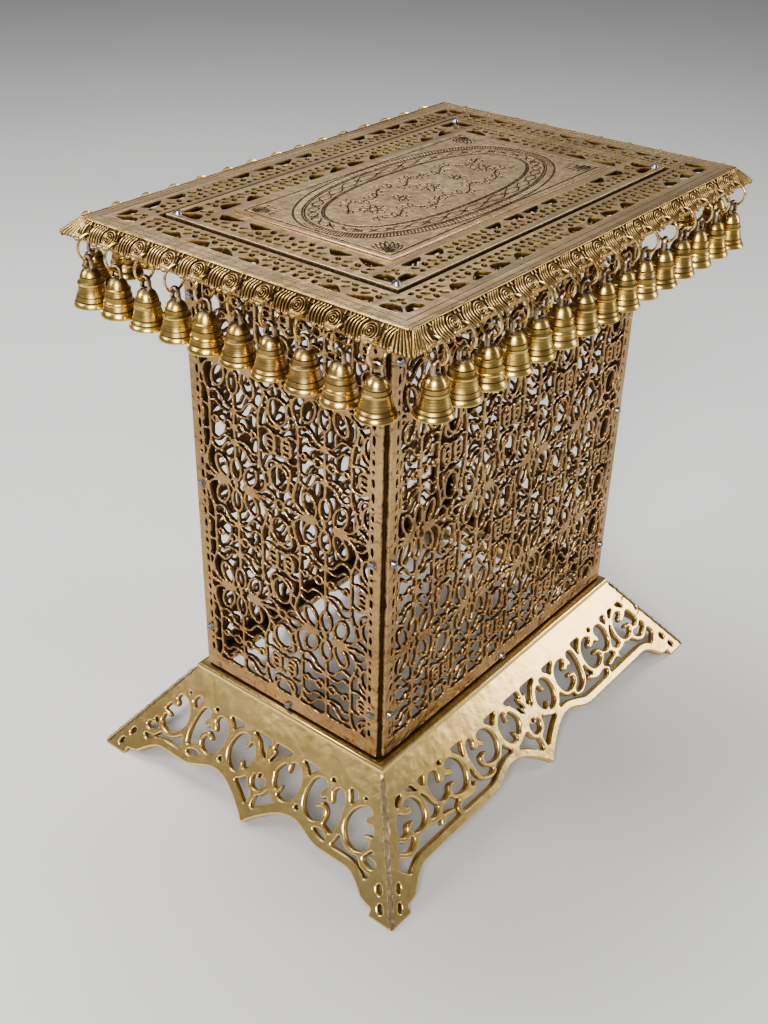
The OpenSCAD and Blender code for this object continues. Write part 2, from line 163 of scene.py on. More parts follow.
class Shape:
    """Gathers the faces of one piece, in millimetres, with a darkening value for each point: patina with painted shade.
    """

    def __init__(self):
        self.points, self.faces, self.patina, self.slots, self.count = [], [], [], [], 0

    def add(self, points, faces, patina=0.0, slot=0):
        points = np.asarray(points, float)
        self.points.append(points)
        self.patina.append(np.broadcast_to(np.asarray(patina, float), (len(points),)))
        self.faces += [tuple(int(i) + self.count for i in f) for f in faces]
        self.slots += [slot] * len(faces)
        self.count += len(points)

    def build(self, name, materials, replaces=(), body=STAND, sharp=48):
        mesh = bpy.data.meshes.new(name)
        points = np.vstack(self.points) * MM
        points[:, 2] = np.maximum(points[:, 2], 0.0)
        mesh.from_pydata(points.tolist(), [], self.faces)
        for m in materials:
            mesh.materials.append(m)
        mesh.polygons.foreach_set("material_index", self.slots)
        mesh.polygons.foreach_set("use_smooth", [True] * len(self.faces))
        # per-point darkening: patina with painted shade on walls, undersides and recesses
        layer = mesh.attributes.new("patina", "FLOAT", "POINT")
        layer.data.foreach_set("value", np.concatenate(self.patina).astype(np.float32))
        mesh.update()
        mesh.set_sharp_from_angle(angle=math.radians(sharp))
        piece = bpy.data.objects.new(name, mesh)
        bpy.context.scene.collection.objects.link(piece)
        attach(piece, body)
        if replaces:
            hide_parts(*replaces)
        return piece


def strand(shape, place, path, width, height, closed=False, low=0.0, section=ROUND, slot=0, ends=True):
    """A cast strand along a path in a plane: rounded on its face, flat behind."""
    p = np.asarray(path, float)
    n = len(p)
    width = np.broadcast_to(np.asarray(width, float), (n,)) / 2
    height = np.broadcast_to(np.asarray(height, float), (n,))
    if closed:
        along = np.roll(p, -1, 0) - np.roll(p, 1, 0)
    else:
        along = np.gradient(p, axis=0)
    along /= np.maximum(np.linalg.norm(along, axis=1, keepdims=True), 1e-9)
    if not closed and ends:
        # rounded ends
        grow = [(0.55, 0.84), (0.92, 0.4)]
        first = [p[0] - along[0] * width[0] * g for g, _ in reversed(grow)]
        last = [p[-1] + along[-1] * width[-1] * g for g, _ in grow]
        width = np.concatenate([[width[0] * s for _, s in reversed(grow)], width, [width[-1] * s for _, s in grow]])
        height = np.concatenate([[height[0] * (0.5 + 0.5 * s) for _, s in reversed(grow)], height,
                                 [height[-1] * (0.5 + 0.5 * s) for _, s in grow]])
        p = np.vstack([first, p, last])
        along = np.vstack([along[:1]] * 2 + [along] + [along[-1:]] * 2)
        n = len(p)
    across = np.column_stack([-along[:, 1], along[:, 0]])
    k = len(section)
    sx = np.array([s[0] for s in section])
    sy = np.array([s[1] for s in section])
    uv = p[:, None, :] + across[:, None, :] * (width[:, None] * sx[None, :])[..., None]
    up = low + height[:, None] * sy[None, :]
    points = place(np.concatenate([uv, up[..., None]], axis=2).reshape(-1, 3))
    # darker from the face to the back edges: painted shade with patina
    patina = np.tile(1 - sy, n)
    rings = n if closed else n - 1
    faces = []
    for i in range(rings):
        j = (i + 1) % n
        for a in range(k):
            b = (a + 1) % k
            faces.append((i * k + a, i * k + b, j * k + b, j * k + a))
    if not closed:
        faces.append(tuple(range(k - 1, -1, -1)))
        faces.append(tuple((n - 1) * k + a for a in range(k)))
    shape.add(points, faces, patina, slot)


def boss(shape, place, centre, radius, height, low=0.0, slot=0, squash=1.0, steps=14, turn=0.0):
    """A low round dome."""
    rings = [(1.0, 0.0), (0.97, 0.4), (0.78, 0.78), (0.42, 0.96)]
    a = np.linspace(0, 2 * math.pi, steps, endpoint=False)
    ca, sa = math.cos(math.radians(turn)), math.sin(math.radians(turn))
    points, patina = [], []
    for r, h in rings:
        x, y = radius * r * np.cos(a), radius * squash * r * np.sin(a)
        points += [(centre[0] + p * ca - q * sa, centre[1] + p * sa + q * ca, low + height * h) for p, q in zip(x, y)]
        # darker towards the foot of the dome: painted shade with patina
        patina += [1 - h] * steps
    points.append((centre[0], centre[1], low + height))
    patina.append(0.0)
    faces = [tuple(range(steps - 1, -1, -1))]
    for i in range(len(rings) - 1):
        for k in range(steps):
            m = (k + 1) % steps
            faces.append((i * steps + k, i * steps + m, (i + 1) * steps + m, (i + 1) * steps + k))
    top = len(points) - 1
    faces += [((len(rings) - 1) * steps + k, (len(rings) - 1) * steps + (k + 1) % steps, top) for k in range(steps)]
    shape.add(place(points), faces, patina, slot)


def lathe(shape, place, profile, steps, slot=0, ends=False):
    """A turned shape from a profile of (radius, height, darkening), about a local upright axis; the darkening is patina
    with painted shade.
    """
    a = np.linspace(0, 2 * math.pi, steps, endpoint=False)
    points = np.vstack([np.column_stack([r * np.cos(a), r * np.sin(a), np.full(steps, z)]) for r, z, _ in profile])
    faces = []
    for i in range(len(profile) - 1):
        for k in range(steps):
            m = (k + 1) % steps
            faces.append((i * steps + k, i * steps + m, (i + 1) * steps + m, (i + 1) * steps + k))
    if ends:
        faces.append(tuple(range(steps - 1, -1, -1)))
        faces.append(tuple((len(profile) - 1) * steps + k for k in range(steps)))
    shape.add(place(points), faces, np.repeat([d for _, _, d in profile], steps), slot)


def tube(shape, place, path, normal, radius, across=None, closed=True, slot=0, steps=8, patina=0.0):
    """A wire along a flat curve in space: radius in the curve's plane, across out of it."""
    p = np.asarray(path, float)
    across = radius if across is None else across
    along = np.roll(p, -1, 0) - np.roll(p, 1, 0) if closed else np.gradient(p, axis=0)
    along /= np.linalg.norm(along, axis=1, keepdims=True)
    normal = np.array(normal, float)
    side = np.cross(normal, along)
    a = np.linspace(0, 2 * math.pi, steps, endpoint=False)
    points = (p[:, None] + side[:, None] * (radius * np.cos(a))[None, :, None]
              + normal[None, None] * (across * np.sin(a))[None, :, None]).reshape(-1, 3)
    n = len(p)
    faces = []
    for i in range(n if closed else n - 1):
        j = (i + 1) % n
        faces += [(i * steps + k, i * steps + (k + 1) % steps, j * steps + (k + 1) % steps, j * steps + k)
                  for k in range(steps)]
    if not closed:
        faces += [tuple(range(steps - 1, -1, -1)), tuple((n - 1) * steps + k for k in range(steps))]
    shape.add(place(points), faces, patina, slot)


def offset(loop, by):
    """A closed loop moved outwards by a distance, along its corners' bisectors."""
    p = np.asarray(loop, float)
    before, after = p - np.roll(p, 1, 0), np.roll(p, -1, 0) - p
    before /= np.maximum(np.linalg.norm(before, axis=1, keepdims=True), 1e-9)
    after /= np.maximum(np.linalg.norm(after, axis=1, keepdims=True), 1e-9)
    normal = np.column_stack([before[:, 1] + after[:, 1], -before[:, 0] - after[:, 0]])
    size = np.maximum((normal ** 2).sum(1, keepdims=True) / 2, 0.5)
    area = (p[:, 0] * np.roll(p[:, 1], -1) - np.roll(p[:, 0], -1) * p[:, 1]).sum()
    return p + normal / size * by * (1 if area > 0 else -1)


def inside_odd(points, loops):
    """Which points lie inside an odd number of the loops."""
    odd = np.zeros(len(points), bool)
    for loop in loops:
        low, high = loop.min(0), loop.max(0)
        near = np.nonzero(((points >= low) & (points <= high)).all(1))[0]
        p, a, b = points[near][:, None, :], loop[None], np.roll(loop, -1, 0)[None]
        spans = (a[..., 1] > p[..., 1]) != (b[..., 1] > p[..., 1])
        rise = np.where(b[..., 1] == a[..., 1], 1e-9, b[..., 1] - a[..., 1])
        cross = p[..., 0] < a[..., 0] + (p[..., 1] - a[..., 1]) * (b[..., 0] - a[..., 0]) / rise
        odd[near] ^= (spans & cross).sum(1) % 2 == 1
    return odd


def cap(shape, place, loops, height, up, patina=0.0, slot=0):
    """A flat face with holes at a height, facing up or down."""
    points = np.vstack(loops)
    edges, start = [], 0
    for loop in loops:
        n = len(loop)
        edges += [(start + k, start + (k + 1) % n) for k in range(n)]
        start += n
    found = delaunay_2d_cdt([Vector(p) for p in points], edges, [], 1, 1e-5, False)
    flat = np.array([tuple(v) for v in found[0]])
    faces = np.array(found[2])
    keep = inside_odd(flat[faces].mean(1), loops)
    a, b, c = (flat[faces[:, i]] for i in range(3))
    turn = (b[:, 0] - a[:, 0]) * (c[:, 1] - a[:, 1]) - (b[:, 1] - a[:, 1]) * (c[:, 0] - a[:, 0])
    faces = np.where(((turn > 0) == up)[:, None], faces, faces[:, ::-1])[keep]
    shape.add(place(np.column_stack([flat, np.full(len(flat), height)])), faces.tolist(), patina, slot)


def plate(shape, place, outline, holes, low, high, chamfer=0.35, wall_slot=None, taper=0.0, slot=0, dark=0.0):
    """A flat plate with holes, its upper edges chamfered and its holes wider above by taper."""
    wall_slot = slot if wall_slot is None else wall_slot
    loops = [np.asarray(outline, float)] + [np.asarray(h, float) for h in holes]
    top = [offset(loops[0], -chamfer)] + [offset(h, chamfer + taper) for h in loops[1:]]
    cap(shape, place, top, high, True, dark, slot)
    # the underside is painted fully dark: painted shade with patina
    cap(shape, place, loops, low, False, 1.0, slot)
    for i, loop in enumerate(loops):
        n = len(loop)
        rows = [(top[i], high), (loop if i == 0 else offset(loop, taper), high - chamfer), (loop, low)]
        points = np.vstack([np.column_stack([r, np.full(n, z)]) for r, z in rows])
        area = (loop[:, 0] * np.roll(loop[:, 1], -1) - np.roll(loop[:, 0], -1) * loop[:, 1]).sum()
        forward = (area > 0) == (i == 0)
        faces = []
        for level in (0, 1):
            for k in range(n):
                m = (k + 1) % n
                quad = (level * n + k, level * n + m, (level + 1) * n + m, (level + 1) * n + k)
                faces.append(quad[::-1] if forward else quad)
        # walls darken from the chamfer down to the back: painted shade with patina
        shape.add(place(points), faces, np.repeat([0.0, 0.35, 1.0], n), slot if i == 0 else wall_slot)


def loop_distance(gx, gy, loop):
    """Distance to a closed loop, negative inside it."""
    best = np.full(gx.shape, 1e9)
    for a, b in zip(loop, np.roll(loop, -1, 0)):
        d = b - a
        t = np.clip(((gx - a[0]) * d[0] + (gy - a[1]) * d[1]) / max(float(d @ d), 1e-9), 0, 1)
        best = np.minimum(best, np.hypot(gx - a[0] - t * d[0], gy - a[1] - t * d[1]))
    inside = inside_odd(np.column_stack([gx.ravel(), gy.ravel()]), [loop]).reshape(gx.shape)
    return np.where(inside, -best, best)


def cast_field(low, high, step, strands, areas=(), cuts=(), soften=0.6, within=None):
    """Signed distance (negative in metal) of strands and areas on a grid, softened so that they flow together."""
    nx, ny = int((high[0] - low[0]) / step) + 1, int((high[1] - low[1]) / step) + 1
    xs, ys = low[0] + step * np.arange(nx), low[1] + step * np.arange(ny)
    field = np.full((ny, nx), 4.0)
    for path, wide, closed in strands:
        wide = np.broadcast_to(np.asarray(wide, float), (len(path),)) / 2
        ends = np.roll(path, -1, 0) if closed else path[1:]
        wide_ends = np.roll(wide, -1) if closed else wide[1:]
        for a, b, wa, wb in zip(path, ends, wide, wide_ends):
            reach = max(wa, wb) + 4
            i0, i1 = np.searchsorted(xs, (min(a[0], b[0]) - reach, max(a[0], b[0]) + reach))
            j0, j1 = np.searchsorted(ys, (min(a[1], b[1]) - reach, max(a[1], b[1]) + reach))
            if i1 <= i0 or j1 <= j0:
                continue
            gx, gy = xs[None, i0:i1], ys[j0:j1, None]
            d = b - a
            t = np.clip(((gx - a[0]) * d[0] + (gy - a[1]) * d[1]) / max(float(d @ d), 1e-9), 0, 1)
            away = np.hypot(gx - a[0] - t * d[0], gy - a[1] - t * d[1]) - (wa + (wb - wa) * t)
            window = field[j0:j1, i0:i1]
            np.minimum(window, away, out=window)
    gx, gy = np.meshgrid(xs, ys)
    for loop in areas:
        field = np.minimum(field, loop_distance(gx, gy, np.asarray(loop, float)))
    for loop in cuts:
        field = np.maximum(field, -loop_distance(gx, gy, np.asarray(loop, float)))
    reach = int(math.ceil(2.5 * soften / step))
    kernel = np.exp(-0.5 * (np.arange(-reach, reach + 1) * step / soften) ** 2)
    kernel /= kernel.sum()
    padded = np.pad(field, reach, mode="edge")
    padded = np.apply_along_axis(lambda r: np.convolve(r, kernel, "valid"), 1, padded)
    field = np.apply_along_axis(lambda r: np.convolve(r, kernel, "valid"), 0, padded)
    if within is not None:
        field = np.maximum(field, loop_distance(gx, gy, np.asarray(within, float)))
    field[0], field[-1], field[:, 0], field[:, -1] = 1.0, 1.0, 1.0, 1.0
    return xs, ys, field


# marching squares: which sides of a cell each corner pattern joins, metal kept on the left
# sides: 0 below, 1 right, 2 above, 3 left; corners: 1 low left, 2 low right, 4 high right, 8 high left
MARCH = {1: [(0, 3)], 2: [(1, 0)], 3: [(1, 3)], 4: [(2, 1)], 5: [(0, 3), (2, 1)], 6: [(2, 0)], 7: [(2, 3)], 8: [(3, 2)],
         9: [(0, 2)], 10: [(1, 0), (3, 2)], 11: [(1, 2)], 12: [(3, 1)], 13: [(0, 1)], 14: [(3, 0)]}


def field_loops(xs, ys, field, thin=2):
    """Closed outlines of the metal in a field, with the outward direction at each point."""
    metal = field < 0
    code = (metal[:-1, :-1] * 1 + metal[:-1, 1:] * 2 + metal[1:, 1:] * 4 + metal[1:, :-1] * 8)
    step = xs[1] - xs[0]
    slope_y, slope_x = np.gradient(field, step)
    follow = {}
    for j, i in zip(*np.nonzero((code > 0) & (code < 15))):
        keys = ((j, i, 0), (j, i + 1, 1), (j + 1, i, 0), (j, i, 1))
        for start, stop in MARCH[int(code[j, i])]:
            follow[keys[start]] = keys[stop]
    loops = []
    while follow:
        first, here = follow.popitem()
        keys = [first]
        while here != first:
            keys.append(here)
            here = follow.pop(here)
        if len(keys) < 10:
            continue
        k = np.array(keys)
        j, i, up = k[:, 0], k[:, 1], k[:, 2]
        j2, i2 = j + up, i + (1 - up)
        f0, f1 = field[j, i], field[j2, i2]
        t = f0 / (f0 - f1)
        points = np.column_stack([xs[i] + (xs[i2] - xs[i]) * t, ys[j] + (ys[j2] - ys[j]) * t])
        points = (np.roll(points, 1, 0) + 2 * points + np.roll(points, -1, 0)) / 4
        out = np.column_stack([slope_x[j, i] * (1 - t) + slope_x[j2, i2] * t, slope_y[j, i] * (1 - t) + slope_y[j2, i2] * t])
        out /= np.maximum(np.linalg.norm(out, axis=1, keepdims=True), 1e-6)
        loops.append((points[::thin], out[::thin]))
    return loops


# rings of a cast edge: share of the thickness, inset, darkening; the darkening is painted shade with patina
CAST_EDGE = [(1.0, 0.85, 0.0), (0.93, 0.42, 0.0), (0.8, 0.12, 0.15), (0.6, 0.0, 0.45), (0.0, 0.0, 1.0)]


def cast(shape, place, field, thick, edge=CAST_EDGE, slot=0, wall_slot=None):
    """A pierced casting: flat face, edges rounded over into walls that darken towards the back, painted shade with
    patina.
    """
    found = field_loops(*field)
    cap(shape, place, [p - n * edge[0][1] for p, n in found], 0.0, True, 0.0, slot)
    cap(shape, place, [p for p, _ in found], -thick, False, 1.0, slot)
    for points, out in found:
        n = len(points)
        rings = [np.column_stack([points - out * inset, np.full(n, -thick * (1 - share))]) for share, inset, _ in edge]
        faces = []
        for level in range(len(edge) - 1):
            a = level * n + np.arange(n)
            b = level * n + (np.arange(n) + 1) % n
            faces += np.column_stack([a, b, b + n, a + n]).tolist()
        shape.add(place(np.vstack(rings)), faces, np.repeat([d for _, _, d in edge], n),
                  slot if wall_slot is None else wall_slot)


def rectangle(w, d, centre=(0, 0)):
    """A rectangle's corners, anticlockwise."""
    x, y = centre
    return [(x - w / 2, y - d / 2), (x + w / 2, y - d / 2), (x + w / 2, y + d / 2), (x - w / 2, y + d / 2)]


def frame_sweep(shape, half_w, half_d, profile, centre=(0, 0), slot=0, patina=None):
    """A closed profile of (outwards, height) points carried round a rectangle, mitred at its corners."""
    k = len(profile)
    points = []
    for sx, sy in ((-1, -1), (1, -1), (1, 1), (-1, 1)):
        points += [(centre[0] + sx * (half_w + out), centre[1] + sy * (half_d + out), z) for out, z in profile]
    faces = []
    for i in range(4):
        j = (i + 1) % 4
        faces += [(i * k + a, j * k + a, j * k + (a + 1) % k, i * k + (a + 1) % k) for a in range(k)]
    shape.add(points, faces, np.tile(patina if patina is not None else np.zeros(k), 4), slot)


FLAT = Place((0, 0, 0), (1, 0, 0), (0, 1, 0))


# ---- materials -------------------------------------------------------------------------------------

class Nodes:
    """A short way to write a material's node tree."""

    def __init__(self, name):
        self.material = bpy.data.materials.new(name)
        self.material.use_nodes = True
        self.tree = self.material.node_tree
        self.shader = self.tree.nodes["Principled BSDF"]
        self.coords = self.tree.nodes.new("ShaderNodeTexCoord").outputs["Object"]

    def node(self, kind, inputs=None, **values):
        made = self.tree.nodes.new(kind)
        for key, value in values.items():
            setattr(made, key, value)
        for key, value in (inputs or {}).items():
            if isinstance(value, bpy.types.NodeSocket):
                self.tree.links.new(value, made.inputs[key])
            else:
                made.inputs[key].default_value = value
        return made

    def scaled(self, scale):
        return self.node("ShaderNodeMapping", {"Vector": self.coords, "Scale": scale}).outputs[0]

    def noise(self, scale, detail=3.0, rough=0.5, stretch=None, distortion=0.0):
        where = self.scaled(stretch) if stretch else self.coords
        return self.node("ShaderNodeTexNoise", {"Vector": where, "Scale": scale, "Detail": detail,
                                                "Roughness": rough, "Distortion": distortion}).outputs[0]

    def remap(self, value, low, high, to_low=0.0, to_high=1.0):
        return self.node("ShaderNodeMapRange", {"Value": value, "From Min": low, "From Max": high,
                                                "To Min": to_low, "To Max": to_high}).outputs[0]

    def math(self, how, a, b=0.0, c=0.0):
        return self.node("ShaderNodeMath", {0: a, 1: b, 2: c}, operation=how).outputs[0]

    def mix(self, factor, a, b):
        made = self.tree.nodes.new("ShaderNodeMix")
        made.data_type = "RGBA"
        for socket, value in ((made.inputs[0], factor), (made.inputs[6], a), (made.inputs[7], b)):
            if isinstance(value, bpy.types.NodeSocket):
                self.tree.links.new(value, socket)
            else:
                socket.default_value = value
        return made.outputs[2]

    def attribute(self, name):
        return self.node("ShaderNodeAttribute", attribute_name=name).outputs["Fac"]

    def bump(self, height, strength, distance=0.0005):
        return self.node("ShaderNodeBump", {"Height": height, "Strength": strength, "Distance": distance}).outputs[0]

    def to(self, socket, value):
        if isinstance(value, bpy.types.NodeSocket):
            self.tree.links.new(value, self.shader.inputs[socket])
        else:
            self.shader.inputs[socket].default_value = value


def fold_shade(n, distance=0.006):
    """Painted shade: how hidden a point is in the folds of its own piece, 0 in the open."""
    open_to = n.node("ShaderNodeAmbientOcclusion", {"Distance": distance}, samples=6).outputs["AO"]
    return n.remap(open_to, 0.35, 0.95, 1.0, 0.0)


def brass(name, light, dark, patina_colour, rough=(0.26, 0.42), patina_at=(0.45, 1.0), hidden=0.006, full=0.75,
          spots=0.25, grain=None, bump=0.25, wave=0.35):
    """Cast or rolled brass: cloudy colour, dark patina with painted shade in the recesses and folds, fine pits and
    scratches.
    """
    n = Nodes(name)
    clouds = n.noise(14.0, 5.0, 0.6)
    fine = n.noise(420.0, 4.0, 0.6)
    colour = n.mix(n.remap(clouds, 0.32, 0.68), light, dark)
    stain = n.remap(n.noise(60.0, 6.0, 0.7), 0.56, 0.74)
    colour = n.mix(n.math("MULTIPLY", stain, spots), colour, patina_colour)
    # darkening by the per-point value and by the folds: patina with painted shade
    deep = n.remap(n.attribute("patina"), patina_at[0], patina_at[1])
    patina_and_fold_shade = n.math("MAXIMUM", n.math("MULTIPLY", deep, full), n.math("MULTIPLY", fold_shade(n, hidden), 0.85))
    broken = n.math("MULTIPLY", patina_and_fold_shade, n.remap(fine, 0.25, 0.6, 0.7, 1.0))
    colour = n.mix(broken, colour, patina_colour)
    n.to("Base Color", colour)
    n.to("Metallic", 1.0)
    streaks = n.noise(90.0, 3.0, 0.6, stretch=grain) if grain else n.noise(170.0, 4.0, 0.65)
    roughness = n.remap(streaks, 0.3, 0.7, rough[0], rough[1])
    n.to("Roughness", n.math("ADD", roughness, n.math("MULTIPLY", broken, 0.25)))
    hammered = n.math("ADD", n.noise(42.0, 2.0, 0.5), n.math("MULTIPLY", n.noise(130.0, 2.0, 0.5), 0.4))
    slow = n.bump(hammered, wave, 0.007)
    quick = n.node("ShaderNodeBump", {"Height": n.math("ADD", n.math("MULTIPLY", fine, 0.6), streaks), "Strength": bump,
                                      "Distance": 0.0004, "Normal": slow}).outputs[0]
    n.to("Normal", quick)
    return n.material


def turned_brass(name):
    """Lathe-turned bell brass: fine rings round the bell, dark lines in its grooves, which are painted shade with
    patina.
    """
    n = Nodes(name)
    clouds = n.noise(38.0, 4.0, 0.6)
    broad = n.noise(7.0, 2.0, 0.5)
    colour = n.mix(n.remap(clouds, 0.35, 0.68), (0.88, 0.64, 0.23, 1), (0.68, 0.44, 0.12, 1))
    colour = n.mix(n.remap(broad, 0.45, 0.62, 0.0, 0.4), colour, (0.56, 0.36, 0.19, 1))
    # grooves, the bell's inside and its folds darkened: painted shade with patina
    groove = n.remap(n.attribute("patina"), 0.2, 0.9)
    dark = n.math("MAXIMUM", n.math("MULTIPLY", groove, 0.9), n.math("MULTIPLY", fold_shade(n, 0.004), 0.7))
    colour = n.mix(dark, colour, (0.07, 0.038, 0.016, 1))
    n.to("Base Color", colour)
    n.to("Metallic", 1.0)
    rings = n.noise(900.0, 2.0, 0.6, stretch=(0.02, 0.02, 2.2))
    n.to("Roughness", n.math("ADD", n.remap(rings, 0.3, 0.7, 0.18, 0.32), n.math("MULTIPLY", dark, 0.25)))
    n.to("Normal", n.bump(rings, 0.15, 0.0003))
    return n.material


def steel(name):
    """Plated screw heads with fine scratches."""
    n = Nodes(name)
    scratch = n.noise(700.0, 3.0, 0.6, stretch=(1.0, 0.2, 1.0))
    n.to("Base Color", n.mix(n.remap(scratch, 0.4, 0.8), (0.36, 0.36, 0.37, 1), (0.22, 0.22, 0.23, 1)))
    n.to("Metallic", 1.0)
    n.to("Roughness", n.remap(scratch, 0.3, 0.7, 0.2, 0.42))
    n.to("Normal", n.bump(scratch, 0.15, 0.0002))
    return n.material


# dark brown for stains, patina and painted shade
PATINA_AND_SHADE = (0.060, 0.030, 0.010, 1)
TOP = brass("top_plate_brass", (0.80, 0.60, 0.37, 1), (0.68, 0.47, 0.25, 1), PATINA_AND_SHADE, rough=(0.27, 0.40),
            patina_at=(0.1, 0.6), grain=(0.06, 1.6, 1.0), hidden=0.002, full=0.95, spots=0.08, bump=0.12, wave=0.16)
# darker copy of the top's brass for the walls of the holes: painted shade, with patina towards the back
HOLE_WALL_SHADE = brass("hole_wall_shaded_brass", (0.38, 0.27, 0.09, 1), (0.20, 0.12, 0.035, 1), PATINA_AND_SHADE, rough=(0.3, 0.5),
                  hidden=0.006, spots=0.6, patina_at=(0.0, 0.6), full=0.97)
ENGRAVED = brass("engraved_plate_brass", (0.76, 0.56, 0.34, 1), (0.58, 0.40, 0.22, 1), (0.018, 0.010, 0.005, 1),
                 rough=(0.30, 0.44), patina_at=(0.03, 0.4), hidden=0.001, spots=0.06, bump=0.1, wave=0.14, full=1.0)
BORDER = brass("cast_border_brass", (0.66, 0.46, 0.21, 1), (0.46, 0.30, 0.12, 1), (0.030, 0.015, 0.006, 1),
               rough=(0.28, 0.44), patina_at=(0.2, 0.8), hidden=0.005, spots=0.35, full=0.9)
FILIGREE = brass("filigree_brass", (0.56, 0.37, 0.18, 1), (0.36, 0.22, 0.10, 1), PATINA_AND_SHADE, rough=(0.20, 0.38),
                 patina_at=(0.15, 0.75), hidden=0.005, spots=0.45, wave=0.9)
BASE = brass("base_cast_brass", (0.93, 0.69, 0.31, 1), (0.85, 0.59, 0.23, 1), PATINA_AND_SHADE, rough=(0.20, 0.26),
             patina_at=(0.35, 0.95), hidden=0.005, spots=0.02, bump=0.04, wave=0.05)
SOLDER = brass("solder_seam", (0.62, 0.52, 0.34, 1), (0.36, 0.26, 0.14, 1), (0.06, 0.035, 0.018, 1),
               rough=(0.35, 0.55), hidden=0.004, spots=0.8, bump=0.6)
INSIDE = brass("inner_frame_brass", (0.13, 0.085, 0.045, 1), (0.07, 0.045, 0.022, 1), PATINA_AND_SHADE, rough=(0.45, 0.65), spots=0.5)
SCREW = steel("screw_steel_look")


# ---- pierced panels --------------------------------------------------------------------------------

PANEL_STRIP = 6.0
PANEL_FOOT, PANEL_HEAD = 13.0, 8.0
PANEL_THICK = 3.0
CELL_RISE, FLOWER_Z = 95.4, 76.6
STRAND = 1.12


def cell_strands(pitch, rise):
    """One repeat of the filigree about its flower, as (path, width, closed) in the panel's plane."""
    x, y = pitch / 84.0, rise / 92.0
    at = lambda u, v: np.array([u * x, v * y])
    curve = lambda points, closed=False: smooth([at(*p) for p in points], 5, closed)
    made = []
    keep = lambda path, width=1.9, closed=False: made.append((path, width, closed))
    for t in (1, -1):
        # petals over and under the flower's middle
        keep(oval(at(0, 12.5 * t), 5.0 * x, 8.5 * y), 2.0, True)
        keep(curve([(0, 2 * t), (-3, 4 * t), (-7.5, 0)]), 1.7)
        for s in (1, -1):
            keep(oval(at(14 * s, 11 * t), 5.6 * x, 9.0 * y, -24 * s * t), 2.0, True)
            # outer leaf and the line to the window
            keep(curve([(7.5 * s, 0), (14 * s, 1.5 * t), (24 * s, 4 * t), (29 * s, 11 * t), (27 * s, 20 * t),
                        (24 * s, 26 * t)]), 2.0)
            keep(curve([(24 * s, 26 * t), (17 * s, 23 * t), (12 * s, 26 * t), (8 * s, 31 * t), (0, 33 * t)]), 1.8)
            # uprights and arches beyond them
            keep(curve([(24 * s, 26 * t), (23.4 * s, 36 * t), (24 * s, 46 * t)]), 1.8)
            keep(curve([(0, 33 * t), (5 * s, 36 * t), (12 * s, 35.5 * t), (17 * s, 31 * t), (24 * s, 33 * t)]), 1.6)
            # small ring pair on the stem
            keep(oval(at(6 * s, 46 * t), 3.6 * x, 3.4 * y, 0, 12), 1.7, True)
            keep(curve([(9.6 * s, 46 * t), (14 * s, 46 * t), (17.5 * s, 46 * t)]), 1.5)
            keep(curve([(15.5 * s, 46 * t), (18.5 * s, 48.6 * t), (21.5 * s, 46 * t), (18.5 * s, 43.4 * t)], True), 1.4, True)
            # ring by the cell's edge, held by a curl
            keep(oval(at(34.5 * s, 44.0 * t), 4.6 * x, 4.8 * y, 0, 14), 1.8, True)
            keep(curve([(24 * s, 38 * t), (28 * s, 36 * t), (33 * s, 36.4 * t), (38 * s, 39 * t), (42 * s, 38 * t)]), 1.7)
            keep(curve([(29 * s, 11 * t), (32.5 * s, 13 * t), (33 * s, 20 * t), (31 * s, 28 * t), (36 * s, 33 * t),
                        (42 * s, 32 * t)]), 1.8)
            # window with points, shared with the next cell
            keep(curve([(42 * s, 10.5 * t), (36 * s, 13 * t), (33.2 * s, 20.5 * t), (36 * s, 28 * t), (42 * s, 31 * t)]), 1.9)
            keep(curve([(29 * s, 8 * t), (34 * s, 7 * t), (38 * s, 2.6 * t)]), 1.7)
            keep(curve([(27 * s, 20 * t), (30 * s, 21.5 * t), (33.2 * s, 20.5 * t)]), 1.4)
        keep(curve([(0, 21 * t), (0.4, 30 * t), (0, 46 * t)]), 1.9)
    for s in (1, -1):
        keep(curve([(7.5 * s, 0), (17 * s, -0.4), (27 * s, 0), (33 * s, 0.4), (38.5 * s, 0)]), 1.9)
        keep(curve([(7.5 * s, 0), (9 * s, 3), (12.5 * s, 2.2)]), 1.5)
    keep(oval(at(42, 0), 3.6 * x, 3.8 * y, 0, 12), 1.8, True)
    return made


def cell_knots(pitch, rise):
    """Places of the small cast knots of one repeat: (place, radius)."""
    x, y = pitch / 84.0, rise / 92.0
    knots = [((0, 0), 2.2)]
    for s in (1, -1):
        knots += [((7.5 * s, 0), 2.0), ((27 * s, 0), 2.1)]
        for t in (1, -1):
            knots += [((24 * s, 26 * t), 1.9), ((33.2 * s, 20.5 * t), 1.5), ((0, 33 * t), 1.8), ((29 * s, 11 * t), 1.6)]
    return [(np.array([u * x, v * y]), r) for (u, v), r in knots]


